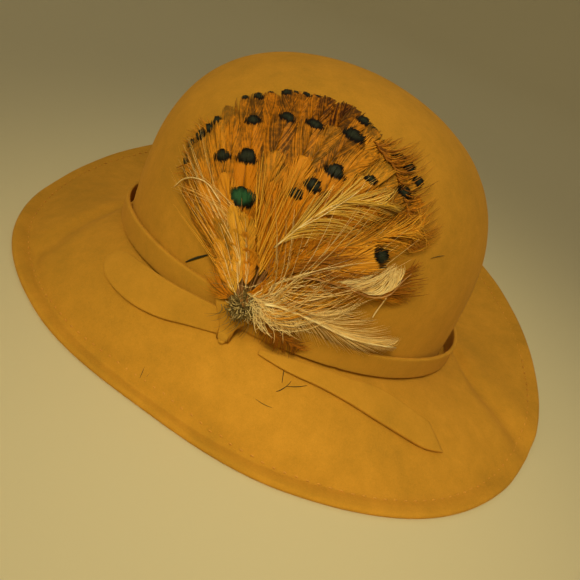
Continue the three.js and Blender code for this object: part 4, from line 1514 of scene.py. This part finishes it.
# %% [markdown]
# ## Stage and light
#
# The hat stands on a round sweep of pale paper, flat for more than a metre and then curved up,
# so that no edge shows from any side. A lamp in front and above has a narrow beam, so that the
# light falls off to the sides as in the picture. A wider one fills the shadows, and the surround
# is dim and warm. Both are discs, because a point would draw a hard shadow under every barb.

# %% Light the hat
SWEEP_FLAT = 1.3
SWEEP_CURVE = 0.7
SWEEP_TOP = 1.6
SWEEP_SIDES = 96


def paper_sweep():
    """A flat disc that curves up into a wall, as one turned mesh."""
    bends = np.linspace(0, math.pi / 2, 13)
    profile = [(math.sin(bend), 1 - math.cos(bend)) for bend in bends]
    profile = [(SWEEP_FLAT + SWEEP_CURVE * out, SWEEP_CURVE * up) for out, up in profile]
    profile.append((SWEEP_FLAT + SWEEP_CURVE, SWEEP_TOP))
    turns = [2 * math.pi * i / SWEEP_SIDES for i in range(SWEEP_SIDES)]
    points = [(r * math.sin(a), r * math.cos(a), z) for a in turns for r, z in profile]
    columns = len(profile)
    faces = grid_faces(SWEEP_SIDES, columns, True, flip=True)
    middle = len(points)
    points.append((0, 0, 0))
    for i in range(SWEEP_SIDES):
        faces.append((i * columns, middle, (i + 1) % SWEEP_SIDES * columns))
    mesh = bpy.data.meshes.new("paper_sweep")
    mesh.from_pydata(points, [], faces)
    mesh.polygons.foreach_set("use_smooth", [True] * len(mesh.polygons))
    mesh.update()
    return mesh


paper, _ = new_material("matt_paper", {"Roughness": 0.9, "Base Color": linear("#cfc49c")})
floor = bpy.data.objects.new("paper_sweep", paper_sweep())
floor.data.materials.append(paper)
bpy.context.scene.collection.objects.link(floor)


def soft_light(name, place, target, size, power, code, spread=180):
    light = bpy.data.lights.new(name, "AREA")
    light.shape = "DISK"
    light.size = size
    light.energy = power
    light.color = linear(code)[:3]
    light.spread = math.radians(spread)
    lamp = bpy.data.objects.new(name, light)
    bpy.context.scene.collection.objects.link(lamp)
    lamp.location = place
    lamp.rotation_euler = (Vector(target) - Vector(place)).to_track_quat("-Z", "Y").to_euler()
    return lamp


soft_light("key_light", (0.12, -0.74, 0.76), (0.06, -0.13, 0.03), 0.4, 0.32, "#fff0c4", 25)
soft_light("fill_light", (-0.5, -0.3, 0.9), (0, 0, 0.05), 0.8, 0.24, "#fff3d0")
world = bpy.data.worlds.new("surround")
bpy.context.scene.world = world
world.use_nodes = True
surround = world.node_tree.nodes["Background"].inputs
surround["Color"].default_value = linear("#fff4dc")
surround["Strength"].default_value = 0.4
bpy.context.scene.view_settings.view_transform = "Standard"
